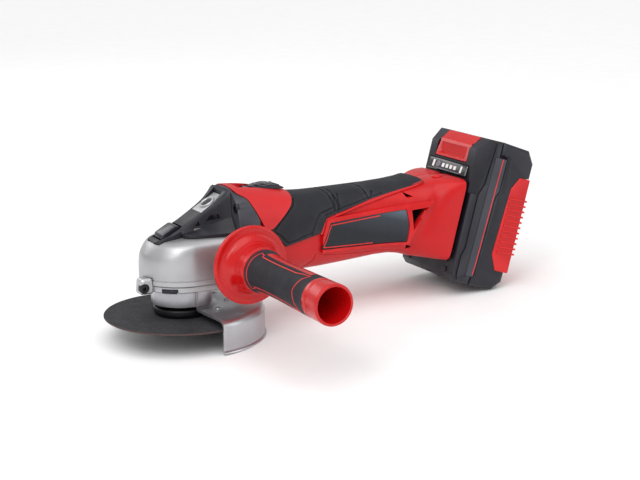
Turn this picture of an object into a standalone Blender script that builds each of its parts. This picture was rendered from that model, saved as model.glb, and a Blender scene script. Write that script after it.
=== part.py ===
"""Cordless angle grinder, 115 mm, with side handle, guard and slide-on battery.

Frame: the origin is the centre of the spindle's lower end face. +Z runs up along the
spindle, +X runs back along the motor and grip to the battery, -Y is the side handle's side.
All dimensions below are in millimetres and become metres when a mesh is made.
"""

import math

import bmesh
import bpy
from mathutils import Matrix, Vector

MM = 0.001
GAP = 0.3            # clearance left between touching pieces
END = 8.0            # height of the disc's middle plane above the spindle's end face

# Disc, guard and spindle
DISC_R = 57.5
DISC_T = 1.2
GUARD_R = 61.3
GUARD_TOP = END + 7.75
GUARD_LOW = END - 16.5
GUARD_T = 1.5
GUARD_HALF_ANGLE = 85.0
NECK_R = 20.0
BAND_R = 22.5
SPINDLE_R = 7.0

# Gear train: bevel pinion on the motor shaft, crown gear on the spindle
MOTOR_Z = END + 52.5
CROWN_TEETH = 24
PINION_TEETH = 8
CONE_OUTER = 19.8
CONE_INNER = 14.8
PITCH_ANGLE = math.atan2(CROWN_TEETH, PINION_TEETH)

# Gear case and head
CASE_LOW = END + 27.0
CASE_BACK = 44.0
HUMP_TOP = END + 65.5
BOSS_PLACE = (22.0, 0.0, END + 81.0)
BOSS_SLOPE = 25.0
BOSS_SPAN = (13.2, 31.0)
BOSS_HALF = 7.7
LOCK_X = -10.5
LOCK_PLACE = (-9.5, 0.0, END + 61.4)
LOCK_SLOPE = 29.0
LOCK_FLOOR = END + 53.0

# Side handle
HANDLE_X = 31.2
HANDLE_Z = END + 44.1
BOSS_END = 38.3
HANDLE_END = 173.8
DISH_R = 28.9

# Battery and its mount, which lean back from the vertical
LEAN = 15.0
FOOT_N = 200.0
BATTERY_FRONT = 204.5
BATTERY_SEAM = 230.0
BATTERY_HALF = 38.0
CELL_R = 9.2
CELL_PITCH = 19.0


# ---------------------------------------------------------------- materials

def material(name, colour, roughness, metallic=0.0):
    made = bpy.data.materials.new(name)
    made.use_nodes = True
    shader = made.node_tree.nodes["Principled BSDF"]
    shader.inputs["Base Color"].default_value = (*colour, 1.0)
    shader.inputs["Roughness"].default_value = roughness
    shader.inputs["Metallic"].default_value = metallic
    return made


COLOURS = {
    "red": ((0.62, 0.012, 0.015), 0.38, 0.0),
    "charcoal": ((0.028, 0.029, 0.036), 0.45, 0.0),
    "rubber": ((0.032, 0.034, 0.040), 0.75, 0.0),
    "aluminium": ((0.62, 0.62, 0.63), 0.35, 1.0),
    "steel": ((0.55, 0.55, 0.57), 0.28, 1.0),
    "dark_steel": ((0.05, 0.05, 0.055), 0.3, 1.0),
    "abrasive": ((0.03, 0.03, 0.033), 0.9, 0.0),
    "copper": ((0.75, 0.33, 0.16), 0.35, 1.0),
    "magnet": ((0.10, 0.10, 0.11), 0.6, 0.3),
    "board": ((0.02, 0.16, 0.06), 0.5, 0.0),
    "cell": ((0.10, 0.22, 0.48), 0.4, 0.0),
    "white": ((0.75, 0.75, 0.75), 0.4, 0.0),
}


# ---------------------------------------------------------------- mesh tools

def solid(name, points, faces, colour, parent=None, smooth=None):
    """A closed mesh object from points in millimetres, with its faces turned outwards."""
    mesh = bpy.data.meshes.new(name)
    mesh.from_pydata([[c * MM for c in point] for point in points], [], faces)
    work = bmesh.new()
    work.from_mesh(mesh)
    bmesh.ops.remove_doubles(work, verts=work.verts, dist=1e-7)
    bmesh.ops.triangulate(work, faces=work.faces)
    bmesh.ops.recalc_face_normals(work, faces=work.faces)
    work.to_mesh(mesh)
    work.free()
    made = bpy.data.objects.new(name, mesh)
    bpy.context.collection.objects.link(made)
    if colour is None:
        made.hide_render = True
        made.display_type = "WIRE"
    else:
        mesh.materials.append(material(name, *COLOURS[colour]))
    if smooth:
        mesh.shade_smooth()
        mesh.set_sharp_from_angle(angle=math.radians(smooth))
    made.parent = parent
    return made


def empty(name, place, turn=(0.0, 0.0, 0.0)):
    made = bpy.data.objects.new(name, None)
    bpy.context.collection.objects.link(made)
    made.location = [c * MM for c in place]
    made.rotation_euler = [math.radians(a) for a in turn]
    return made


def ride(pieces, holder):
    """Parents pieces to an empty on their joint's axis, leaving them where they are."""
    for piece in pieces:
        piece.parent = holder
        piece.matrix_parent_inverse = Matrix.Translation(holder.location).inverted()


def loft(rings, closed=False):
    """Points and faces of a skin over rings of equal length; closed joins last to first."""
    count = len(rings[0])
    points = [point for ring in rings for point in ring]
    faces = []
    spans = len(rings) if closed else len(rings) - 1
    for row in range(spans):
        here = row * count
        there = ((row + 1) % len(rings)) * count
        for k in range(count):
            after = (k + 1) % count
            faces.append((here + k, here + after, there + after, there + k))
    if not closed:
        faces.append(tuple(range(count)))
        last = (len(rings) - 1) * count
        faces.append(tuple(last + k for k in reversed(range(count))))
    return points, faces


AXES = {
    "Z": lambda a, b, c: (a, b, c),
    "X": lambda a, b, c: (c, a, b),
    "Y": lambda a, b, c: (a, -c, b),
}


def turned(profile, segments, axis="Z", centre=(0.0, 0.0, 0.0), start=0.0, sweep=360.0):
    """Turns a closed (radius, distance) profile about an axis through centre.

    Distance runs along +Z, +X or -Y. A radius of 0 gives a pole.
    """
    full = sweep >= 360.0
    steps = segments if full else segments + 1
    place = AXES[axis]
    rings = []
    for k in range(steps):
        angle = math.radians(start + sweep * k / segments)
        ring = []
        for radius, distance in profile:
            x, y, z = place(radius * math.cos(angle), radius * math.sin(angle), distance)
            ring.append((x + centre[0], y + centre[1], z + centre[2]))
        rings.append(ring)
    return loft(rings, closed=full)


def tube(inner, outer, low, high):
    return [(inner, low), (outer, low), (outer, high), (inner, high)]


def rod(radius, low, high):
    return [(0.0, low), (radius, low), (radius, high), (0.0, high)]


def block(low, high):
    """Points and faces of a box between two corners."""
    (x0, y0, z0), (x1, y1, z1) = low, high
    bottom = [(x0, y0, z0), (x1, y0, z0), (x1, y1, z0), (x0, y1, z0)]
    top = [(x, y, z1) for x, y, _ in bottom]
    return loft([bottom, top])


def inset(outline, distance):
    """The outline moved inwards by distance, corner by corner; it runs anticlockwise."""
    moved = []
    for k, (x, y) in enumerate(outline):
        x0, y0 = outline[k - 1]
        x1, y1 = outline[(k + 1) % len(outline)]
        before = math.hypot(x - x0, y - y0)
        after = math.hypot(x1 - x, y1 - y)
        ax, ay = -(y - y0) / before, (x - x0) / before
        bx, by = -(y1 - y) / after, (x1 - x) / after
        scale = distance / (1.0 + ax * bx + ay * by)
        moved.append((x + (ax + bx) * scale, y + (ay + by) * scale))
    return moved


def slab(outline, low, high, chamfer=0.0):
    """An (x, z) outline extruded along Y from low to high, its side edges chamfered."""
    full = [(x, z) for x, z in outline]
    layers = [(low, full), (high, full)]
    if chamfer:
        small = inset(full, chamfer)
        layers = [(low, small), (low + chamfer, full), (high - chamfer, full), (high, small)]
    return loft([[(x, y, z) for x, z in ring] for y, ring in layers])


def power(value, exponent):
    return math.copysign(abs(value) ** exponent, value)


def boolean(target, cutter, operation="DIFFERENCE"):
    step = target.modifiers.new(operation.lower(), "BOOLEAN")
    step.object = cutter
    step.operation = operation
    step.solver = "EXACT"


def cut(target, name, shape, parent=None):
    boolean(target, solid(name, *shape, None, parent))


def join(target, name, shape, parent=None):
    boolean(target, solid(name, *shape, None, parent), "UNION")


# ---------------------------------------------------------------- spindle and gears

def bevel_ring(teeth, cone_angle, distance, phase, thick):
    """One end of a bevel gear's toothed face, as (radius, angle, height) with apex at 0.

    The teeth are straight-sided, with backlash so that the pair runs free.
    """
    module = 2.0 * distance * math.sin(cone_angle) / teeth
    pitch = 2.0 * math.pi / teeth
    half = thick * pitch / 4.0
    corners = [(-1.45, -1.05), (-0.55, 0.72), (0.55, 0.72), (1.45, -1.05)]
    ring = []
    for tooth in range(teeth):
        middle = phase + tooth * pitch
        for share, height in corners:
            h = height * module
            radius = distance * math.sin(cone_angle) + h * math.cos(cone_angle)
            drop = -distance * math.cos(cone_angle) + h * math.sin(cone_angle)
            ring.append((radius, middle + share * half, drop))
    return ring


def crown_gear():
    phase = math.pi / CROWN_TEETH
    outer = bevel_ring(CROWN_TEETH, PITCH_ANGLE, CONE_OUTER, phase, 0.78)
    inner = bevel_ring(CROWN_TEETH, PITCH_ANGLE, CONE_INNER, phase, 0.78)
    web = MOTOR_Z - 8.2
    low = MOTOR_Z - 14.5
    bore = 6.3

    def ring(points):
        return [(r * math.cos(a), r * math.sin(a), z) for r, a, z in points]

    rings = [
        ring([(18.4, a, low + 2.0) for _, a, _ in outer]),
        ring([(r, a, MOTOR_Z + z) for r, a, z in outer]),
        ring([(r, a, MOTOR_Z + z) for r, a, z in inner]),
        ring([(bore, a, web) for _, a, _ in inner]),
        ring([(bore, a, low) for _, a, _ in inner]),
    ]
    gear = solid("crown_gear", *loft(rings, closed=True), "steel", smooth=25)
    for k in range(4):
        angle = math.radians(180 + 90 * k)
        place = (-LOCK_X * math.cos(angle), -LOCK_X * math.sin(angle), 0.0)
        hole = turned(rod(2.2, web - 3.5, web + 6.0), 8, centre=place)
        cut(gear, f"lock_hole_{k}", hole)
    return gear


def pinion_gear():
    angle = math.pi / 2 - PITCH_ANGLE
    outer = bevel_ring(PINION_TEETH, angle, CONE_OUTER, -math.pi / 2, 0.78)
    inner = bevel_ring(PINION_TEETH, angle, CONE_INNER, -math.pi / 2, 0.78)

    def ring(points):
        return [(-d, r * math.cos(a), MOTOR_Z + r * math.sin(a)) for r, a, d in points]

    bore = 2.4
    rings = [
        ring(outer),
        ring(inner),
        ring([(bore, a, inner[0][2]) for _, a, _ in inner]),
        ring([(bore, a, -25.0) for _, a, _ in inner]),
        ring([(4.6, a, -25.0) for _, a, _ in inner]),
        ring([(4.6, a, -20.6) for _, a, _ in inner]),
    ]
    return solid("pinion_gear", *loft(rings, closed=True), "steel", smooth=25)


def spindle():
    profile = [
        (0.0, 0.0), (SPINDLE_R - 0.8, 0.0), (SPINDLE_R, 0.8), (SPINDLE_R, END + 9.5),
        (7.7, END + 9.5), (7.7, END + 24.5), (6.0, END + 24.5), (6.0, MOTOR_Z - 6.0),
        (5.0, MOTOR_Z - 6.0), (5.0, MOTOR_Z - 1.2), (0.0, MOTOR_Z - 1.2),
    ]
    return solid("spindle", *turned(profile, 18), "steel", smooth=30)


def inner_flange():
    profile = [
        (SPINDLE_R + GAP, END - 0.3), (10.9, END - 0.3), (10.9, END + 0.9),
        (20.0, END + 0.9), (21.0, END + 3.0), (21.0, END + 6.4), (20.0, END + 7.2),
        (11.0, END + 9.3), (SPINDLE_R + GAP, END + 9.3),
    ]
    return solid("inner_flange", *turned(profile, 24), "dark_steel", smooth=30)


def grinding_disc():
    profile = tube(11.2, DISC_R, END - DISC_T / 2, END + DISC_T / 2)
    return solid("grinding_disc", *turned(profile, 48), "abrasive", smooth=30)


def disc_nut():
    low = 1.2
    profile = [
        (SPINDLE_R + GAP, low), (17.5, low), (19.5, low + 1.5), (19.5, END - 0.9),
        (SPINDLE_R + GAP, END - 0.9),
    ]
    nut = solid("disc_nut", *turned(profile, 24), "dark_steel", smooth=30)
    for k in range(4):
        angle = math.radians(45 + 90 * k)
        place = (14.0 * math.cos(angle), 14.0 * math.sin(angle), 0.0)
        cut(nut, f"pin_hole_{k}", turned(rod(2.4, -2.0, 4.5), 10, centre=place))
    return nut


# ---------------------------------------------------------------- guard

def guard():
    low, top, edge = GUARD_LOW, GUARD_TOP, GUARD_R
    profile = [
        (BAND_R - 1.0, top + 2.2), (BAND_R - 1.0, top - 0.2), (24.5, top - GUARD_T),
        (edge - 4.0, top - GUARD_T), (edge - GUARD_T, top - 4.0),
        (edge - GUARD_T, low + 1.0), (edge - 2.5, low), (edge + 1.5, low),
        (edge + 1.5, low + 1.2), (edge, low + 2.2),
        (edge, top - 4.0), (edge - 1.2, top - 1.2), (edge - 4.0, top), (25.0, top),
    ]
    start = -GUARD_HALF_ANGLE
    shape = turned(profile, 20, start=start, sweep=2 * GUARD_HALF_ANGLE)
    made = solid("guard", *shape, "steel", smooth=35)
    band = turned(tube(NECK_R + GAP, BAND_R, GUARD_TOP + 2.0, END + 21.6), 32)
    join(made, "guard_band", band)
    return made


def lever_sector(inner, outer, low, high, margin=0.0):
    """A short arc about the spindle, where the guard's lock lever sits under the case."""
    start = 219.5 - margin
    return turned(tube(inner, outer, low, high), 3, start=start, sweep=21.0 + 2 * margin)


def guard_lever():
    shape = lever_sector(24.0, 30.8, END + 22.4, END + 25.0)
    return solid("guard_lever", *shape, "charcoal", smooth=40)


# ---------------------------------------------------------------- gear case

def head_plan(front, half, level, back=CASE_BACK, back_half=None, dip=0.0, arc=12):
    """Plan outline of the head at one level: an elliptic nose, then sides to the back.

    dip lowers the nose by that much for each millimetre ahead of the spindle.
    """
    rear = half if back_half is None else back_half
    ring = [(back, -rear, level)]
    for k in range(arc + 1):
        angle = math.radians(-90.0 - 180.0 * k / arc)
        x = -front * math.cos(angle)
        ring.append((x, half * math.sin(angle), level + dip * x))
    ring.append((back, rear, level))
    return ring


def lug(grow=0.0):
    low = (-38.6 - grow, -13.0 - grow, END + 21.0)
    return block(low, (-28.0 + grow, -2.5 + grow, END + 30.0 + grow))


def gear_case():
    levels = [
        (27.0, -30.6, 29.6, 29.6, 0.0), (29.0, -31.0, 30.0, 30.0, 0.0),
        (40.0, -31.0, 30.0, 30.2, 0.0), (46.5, -29.7, 29.9, 30.2, 0.0),
        (51.5, -26.9, 29.4, 30.0, 0.02), (55.8, -24.6, 27.6, 29.6, 0.05),
        (58.4, -22.8, 24.2, 28.4, 0.09), (59.8, -20.6, 20.5, 26.6, 0.12),
    ]
    shell = [
        head_plan(front, half, END + z, back_half=rear, dip=dip)
        for z, front, half, rear, dip in levels
    ]
    case = solid("gear_case", *loft(shell), "aluminium", smooth=35)
    join(case, "case_hump", block((5.5, -12.5, END + 50.0), (CASE_BACK, 12.5, HUMP_TOP)))
    slope = empty("case_boss_slope", BOSS_PLACE, (0.0, -BOSS_SLOPE, 0.0))
    join(case, "case_boss", slab(boss_outline(END + 60.0), -BOSS_HALF, BOSS_HALF))
    join(case, "case_boss_collar", turned(rod(6.2, -3.0, 1.3), 20), slope)
    cut(case, "case_hollow", turned(rod(22.3, END + 20.0, END + 49.4), 24))
    cut(case, "rear_hollow", block((5.0, -16.5, END + 20.0), (38.0, 16.5, END + 49.4)))
    cut(case, "hump_hollow", block((8.0, -9.0, END + 45.0), (38.5, 9.0, HUMP_TOP - 3.2)))
    cut(case, "case_boss_thread", turned(rod(4.2, -12.0, 6.0), 14), slope)
    for side, name in ((1.0, "near"), (-1.0, "far")):
        barrel = [(side * y, r) for y, r in ((24.0, 11.5), (30.0, 11.0), (BOSS_END, 9.5))]
        profile = [(0.0, barrel[0][0])] + [(r, d) for d, r in barrel] + [(0.0, barrel[-1][0])]
        centre = (HANDLE_X, 0.0, HANDLE_Z)
        join(case, f"handle_boss_{name}", turned(profile, 20, "Y", centre))
        near, far = sorted((side * 20.0, side * 50.0))
        cut(case, f"handle_hole_{name}", turned(rod(4.3, near, far), 14, "Y", centre))
    cut(case, "bearing_seat", turned(rod(11.3, 36.0, 50.0), 20, "X", (0, 0, MOTOR_Z)))
    join(case, "bush_carrier", turned(rod(8.1, MOTOR_Z - 5.9, END + 50.0), 20))
    cut(case, "bush_seat", turned(rod(7.2, MOTOR_Z - 8.0, MOTOR_Z - 0.6), 18))
    cut(case, "tongue_seat", block((-21.9, -9.6, END + 55.8), (-3.4, 9.6, END + 70.0)))
    cut(case, "button_room", block((-18.4, -7.2, LOCK_FLOOR), (-0.4, 7.2, END + 70.0)))
    cut(case, "lock_bore", turned(rod(2.1, END + 45.0, END + 60.0), 12, centre=(LOCK_X, 0, 0)))
    for k, (x, y) in enumerate(CAP_SCREWS):
        thread = turned(rod(2.0, END + 20.0, END + 36.5), 10, centre=(x, y, 0))
        cut(case, f"case_thread_{k}", thread)
    cut(case, "lug_room", lug(GAP))
    return case


def boss_outline(low, grow=0.0, rise=0.4):
    """Side view of the block that carries the upper handle thread, open upwards with grow."""
    front, rear = BOSS_SPAN[0] - grow, BOSS_SPAN[1] + grow
    slope = math.tan(math.radians(BOSS_SLOPE))
    tops = [BOSS_PLACE[2] + rise + (x - BOSS_PLACE[0]) * slope for x in (rear, front)]
    return [(front, low), (rear, low), (rear, tops[0]), (front, tops[1])]


FLANGE_SCREW = (23.4, 79.6)
CAP_SCREWS = [(-23.0, 13.0), (24.5, 22.0), (24.5, -22.0)]


def bearing_cap():
    plate = [head_plan(-29.9, 28.7, END + z, back=43.0) for z in (22.2, 26.7)]
    cap = solid("bearing_cap", *loft(plate), "aluminium", smooth=35)
    join(cap, "cap_neck", turned(rod(NECK_R, END + 10.6, END + 24.0), 32))
    join(cap, "cap_lug", lug())
    cut(cap, "cap_seat", turned(rod(16.3, END + 12.5, END + 30.0), 28))
    cut(cap, "cap_mouth", turned(rod(9.0, END + 5.0, END + 14.0), 24))
    cut(cap, "lever_slot", lever_sector(21.2, 33.0, END + 20.0, END + 25.4, 1.6))
    for k, (x, y) in enumerate(CAP_SCREWS):
        cut(cap, f"cap_head_{k}", turned(rod(3.3, END + 20.0, END + 24.4), 14, centre=(x, y, 0)))
        cut(cap, f"cap_hole_{k}", turned(rod(2.3, END + 23.0, END + 28.0), 10, centre=(x, y, 0)))
    cut(cap, "lug_recess", turned(rod(3.7, 8.0, 20.0), 18, "Y", (-34.2, 0.0, END + 25.6)))
    return cap


def fastener(name, head_r, head_t, shank_r, shank_l, axis, centre, turn=1.0):
    """A cap screw: the head starts at centre and the shank runs along the axis from it."""
    profile = [
        (0.0, 0.0), (head_r - 0.4, 0.0), (head_r, 0.4 * turn), (head_r, head_t * turn),
        (shank_r, head_t * turn), (shank_r, (head_t + shank_l) * turn),
        (0.0, (head_t + shank_l) * turn),
    ]
    return solid(name, *turned(profile, 14, axis, centre), "dark_steel", smooth=35)


def spindle_bearings():
    low = END + 13.0
    outer = [
        (8.0, low), (10.5, low), (10.5, low + 0.6), (13.8, low + 0.6), (13.8, low), (16.0, low),
        (16.0, low + 10.0), (8.0, low + 10.0),
    ]
    bush = tube(5.3, 6.9, MOTOR_Z - 5.7, MOTOR_Z - 0.9)
    return [
        solid("spindle_bearing", *turned(outer, 20), "steel", smooth=30),
        solid("spindle_top_bush", *turned(bush, 18), "steel", smooth=30),
    ]


# ---------------------------------------------------------------- head cover

def cover_section(x, ridge, foot, top, low):
    """One cross-section of the head cover: a narrow flat ridge on a flared skirt."""
    rise = top - low
    side = [
        (foot, low), (foot, low + min(2.0, 0.3 * rise)),
        (min(ridge + 2.0, foot - 0.2), low + 0.42 * rise),
        (min(ridge + 0.9, foot - 0.4), low + 0.8 * rise), (ridge, top - 0.5),
        (ridge - 1.3, top),
    ]
    right = [(x, -y, END + z) for y, z in side]
    return right + [(x, y, END + z) for y, z in reversed(side)]


def head_cover():
    tongue, skirt = 56.1, 60.2
    stations = [
        (-21.4, 5.6, 7.4, 57.4, tongue), (-19.6, 7.6, 9.0, 58.4, tongue),
        (-12.0, 8.2, 9.3, 61.6, tongue), (-4.0, 8.3, 9.3, 66.0, tongue),
        (-3.9, 8.3, 9.3, 66.1, skirt), (-3.2, 8.4, 15.0, 66.5, skirt),
        (-1.0, 8.5, 18.6, 67.6, skirt),
        (3.0, 8.8, 20.4, 69.8, skirt), (14.0, 9.6, 22.6, 76.4, skirt),
        (22.0, 10.6, 24.0, 82.0, skirt), (28.0, 12.4, 24.8, 88.0, skirt),
        (33.2, 15.0, 25.4, 93.0, skirt),
    ]
    rings = [cover_section(*station) for station in stations]
    cover = solid("head_cover", *loft(rings), "charcoal", smooth=40)
    slope = empty("lock_slope", LOCK_PLACE, (0.0, -LOCK_SLOPE, 0.0))
    well = [
        (-17.4, 50.0), (-17.4, 57.0), (-21.9, 64.8), (-5.8, 73.7), (-0.6, 64.8), (-0.6, 50.0),
    ]
    cut(cover, "lock_well", slab(side_view(well), -6.7, 6.7))
    hollow = [
        cover_section(x, ridge - 2.4, foot - 2.4, top - 2.6, low - 9.0)
        for x, ridge, foot, top, low in stations[7:-1]
    ]
    cut(cover, "cover_hollow", loft(hollow))
    cut(cover, "hump_room", block((5.0, -13.0, END + 45.0), (35.0, 13.0, HUMP_TOP + 0.4)))
    window = slab(boss_outline(END + 50.0, GAP, 20.0), -BOSS_HALF - GAP, BOSS_HALF + GAP)
    cut(cover, "boss_window", window)
    for side in (-1.0, 1.0):
        near, far = sorted((side * 10.0, side * 24.0))
        outlet = slab(side_view([(15, 69.4), (15, 71), (21, 75), (26, 73)]), near, far)
        cut(cover, f"outlet_{side:+.0f}", outlet)
    outline = [
        (-8.4, -0.6), (-4.0, -2.4), (8.4, -2.4), (8.4, 1.2), (7.4, 2.2), (-7.0, 2.2),
        (-8.4, 0.8),
    ]
    shape = slab(outline, -6.4, 6.4, 1.0)
    button = solid("spindle_lock_button", *shape, "charcoal", slope, 30)
    axis = (LOCK_X, 0.0, 0.0)
    cut(button, "spring_room", turned(tube(2.8, 4.1, END + 50.0, END + 58.9), 14, centre=axis))
    join(button, "button_stem", turned(rod(2.5, END + 56.2, END + 60.0), 14, centre=axis))
    return button


def coil(radius, wire, turns, low, high, centre, per_turn=10, sides=4):
    """Rings of a round-wire compression spring about a vertical line."""
    steps = turns * per_turn
    rings = []
    for k in range(steps + 1):
        angle = 2.0 * math.pi * k / per_turn
        z = low + wire + (high - low - 2.0 * wire) * k / steps
        ring = []
        for side in range(sides):
            turn = 2.0 * math.pi * side / sides
            r = radius + wire * math.cos(turn)
            ring.append((centre + r * math.cos(angle), r * math.sin(angle), z + wire * math.sin(turn)))
        rings.append(ring)
    return loft(rings)


def spindle_lock():
    pin = turned(rod(1.8, MOTOR_Z - 4.8, END + 55.9), 12, centre=(LOCK_X, 0, 0))
    spring = coil(3.45, 0.28, 3, LOCK_FLOOR + 0.2, END + 58.6, LOCK_X)
    return (
        solid("spindle_lock_pin", *pin, "steel", smooth=30),
        solid("spindle_lock_spring", *spring, "steel", smooth=60),
    )


# ---------------------------------------------------------------- body sections

def section(top, low, half, shrink=0.0, side=None, exponent=2.6, arc=8):
    """A rounded cross-section between a top and a bottom point in the XZ plane.

    side is -1 or +1 for half a section from top to bottom, or None for the whole ring.
    """
    rise = math.hypot(top[0] - low[0], top[1] - low[1])
    ux, uz = (top[0] - low[0]) / rise, (top[1] - low[1]) / rise
    mx, mz = (top[0] + low[0]) / 2, (top[1] + low[1]) / 2
    tall = rise / 2 - shrink
    seam = GAP / 2 if side else 0.0
    wide = half - shrink - seam
    sweep = 180.0 if side else 360.0
    count = arc if side else 2 * arc
    ring = []
    for k in range(count + (1 if side else 0)):
        angle = math.radians(90.0 - sweep * k / count)
        y = seam + wide * power(math.cos(angle), 2 / exponent)
        v = tall * power(math.sin(angle), 2 / exponent)
        ring.append((mx + ux * v, (side or 1.0) * y, END + mz + uz * v))
    return ring


# Stations along the body: top point, bottom point, half width, squareness of the section.
BODY = [
    ((50.6, 84.6), (50.6, 24.5), 30.6, 2.6), ((66.0, 84.4), (66.0, 23.5), 30.6, 2.6),
    ((84.0, 83.5), (84.0, 22.0), 29.6, 2.6), ((104.0, 82.5), (104.0, 21.5), 27.6, 2.6),
    ((132.0, 82.0), (132.0, 23.0), 27.2, 2.6), ((160.0, 81.5), (158.0, 25.0), 27.8, 2.6),
]
FLARE = [
    ((186.0, 82.5), (174.0, 27.0), 29.4, 2.8), ((202.0, 83.5), (188.0, 24.0), 32.6, 3.4),
    ((216.0, 84.0), (201.0, 22.2), 34.6, 4.6), ((229.2, 82.5), (212.6, 20.7), 35.2, 6.0),
]
SKIN = 2.0
WALL = 3.0


def housing_half(name, side, frame):
    rings = []
    for skin, stations in ((SKIN, BODY), (0.0, FLARE)):
        for top, low, half, square in stations:
            outer = section(top, low, half, skin, side, square)
            inner = section(top, low, half, skin + WALL, side, square)
            rings.append(outer + inner[::-1])
    shell = solid(name, *loft(rings), "red", smooth=35)
    cut(shell, f"{name}_rail_room", block((194.6, -31.4, 78.6), (206.0, 31.4, 134.4)), frame)
    cut(shell, f"{name}_channel", block((49.0, -5.8, END + 72.0), (158.0, 5.8, END + 90.0)))
    return shell


def bonnet():
    stations = [
        ((34.2, 93.0), 31.4), ((43.0, 92.6), 31.4), ((54.0, 91.4), 31.4),
        ((66.0, 89.4), 31.2), ((76.0, 87.6), 30.8), ((88.0, 85.0), 30.2),
    ]
    rings = []
    for (x, z), half in stations:
        outer = section((x, z), (x, 24.0), half)
        inner = section((x, z), (x, 24.0), half, 2.2)
        rings.append((outer, inner))
    hood = skin_tube("bonnet", rings, "red")
    pan = [
        (41.8, 86.0), (41.8, 90.4), (54.0, 89.6), (76.0, 86.2), (84.0, 84.8), (84.0, 83.8),
        (52.0, 84.9), (51.0, 86.0),
    ]
    join(hood, "switch_pan", slab(side_view(pan), -10.8, 10.8))
    outline = [
        (33.0, 110.0), (36.5, 90.0), (43.6, 86.0), (55.0, 62.5), (60.0, 62.5), (79.0, 78.6),
        (83.0, 84.0), (84.0, 110.0),
    ]
    boolean(hood, solid("bonnet_outline", *slab(side_view(outline), -45, 45), None), "INTERSECT")
    cut(hood, "switch_track", block((42.2, -9.2, END + 87.0), (95.0, 9.2, END + 99.0)))
    cut(hood, "switch_slot", block((54.8, -3.6, END + 80.0), (72.2, 3.6, END + 95.0)))
    return hood


def side_view(outline):
    """A list of (x, z) points with z counted from the disc, ordered anticlockwise."""
    return [(x, END + z) for x, z in reversed(outline)]


def skin_tube(name, rings, colour):
    """A tube with a wall, from pairs of outer and inner rings."""
    path = [outer for outer, _ in rings] + [inner for _, inner in reversed(rings)]
    return solid(name, *loft(path, closed=True), colour, smooth=35)


def grip_overmould():
    rings = []
    for skin, stations in ((0.0, BODY), (-SKIN, FLARE[:2])):
        for top, low, half, square in stations:
            outer = section(top, low, half, skin, None, square)
            inner = section(top, low, half, skin + SKIN - GAP, None, square)
            rings.append((outer, inner))
    grip = skin_tube("grip_overmould", rings, "rubber")
    outline = [
        (84.6, 110.0), (83.6, 84.0), (79.6, 78.0), (57.6, 60.4), (72.0, 48.0), (84.0, 50.5),
        (103.0, 54.5), (108.0, 64.0), (143.0, 71.5), (171.0, 76.0), (198.0, 80.4), (203.0, 110.0),
    ]
    boolean(grip, solid("grip_outline", *slab(side_view(outline), -45, 45), None), "INTERSECT")
    return grip


def label_panel(name, side):
    """Raised panel on the side of the housing, between the grip and the air inlets."""
    outline = side_view([(101.0, 41.5), (109.5, 61.0), (172.0, 66.5), (178.0, 52.5), (174.0, 41.0)])
    near, far = sorted((side * 22.0, side * 29.0))
    panel = solid(name, *slab(outline, near, far, 1.0), "charcoal")
    rings = []
    for skin, stations in ((SKIN, BODY[2:]), (0.0, FLARE[:1])):
        for top, low, half, square in stations:
            rings.append(section(top, low, half, skin - GAP, None, square))
    cut(panel, f"{name}_back", loft(rings))
    return panel


def motor_flange():
    """Flange between gear case and motor: a full plate behind a raised upper block."""
    plate = [
        section((x, top), (x, 24.2), half)
        for x, top, half in ((CASE_BACK + GAP, 85.4, 29.0), (50.3, 84.6, 28.6))
    ]
    flange = solid("motor_flange", *loft(plate), "charcoal", smooth=35)
    wedge = [section((x, 92.2), (x, 24.2), 31.2) for x in (33.8, 50.2)]
    upper = solid("flange_upper", *loft(wedge), None)
    boolean(upper, solid("flange_trim", *block((20, -50, 0), (60, 50, END + 60.4)), None))
    room = [
        (35.9, 112.0), (35.9, 90.0), (43.1, 85.7), (54.4, 62.2), (54.4, 40.0), (80.0, 40.0),
        (80.0, 112.0),
    ]
    boolean(upper, solid("bonnet_room", *slab(side_view(room), -45, 45), None))
    boolean(flange, upper, "UNION")
    cut(flange, "flange_air", block((36.5, -19.0, END + 66.4), (60.0, 19.0, END + 82.0)))
    hump = block((20.0, -12.9, END + 50.0), (CASE_BACK + 0.5, 12.9, HUMP_TOP + 0.4))
    cut(flange, "flange_hump", hump)
    cut(flange, "flange_bore", turned(rod(9.0, 30.0, 60.0), 20, "X", (0, 0, MOTOR_Z)))
    for side in (-1.0, 1.0):
        centre = (0, side * FLANGE_SCREW[0], END + FLANGE_SCREW[1])
        cut(flange, f"flange_seat_{side:+.0f}", turned(rod(3.6, 30.0, 35.6), 14, "X", centre))
        cut(flange, f"flange_hole_{side:+.0f}", turned(rod(2.0, 30.0, 46.6), 10, "X", centre))
    return flange


# ---------------------------------------------------------------- motor

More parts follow.
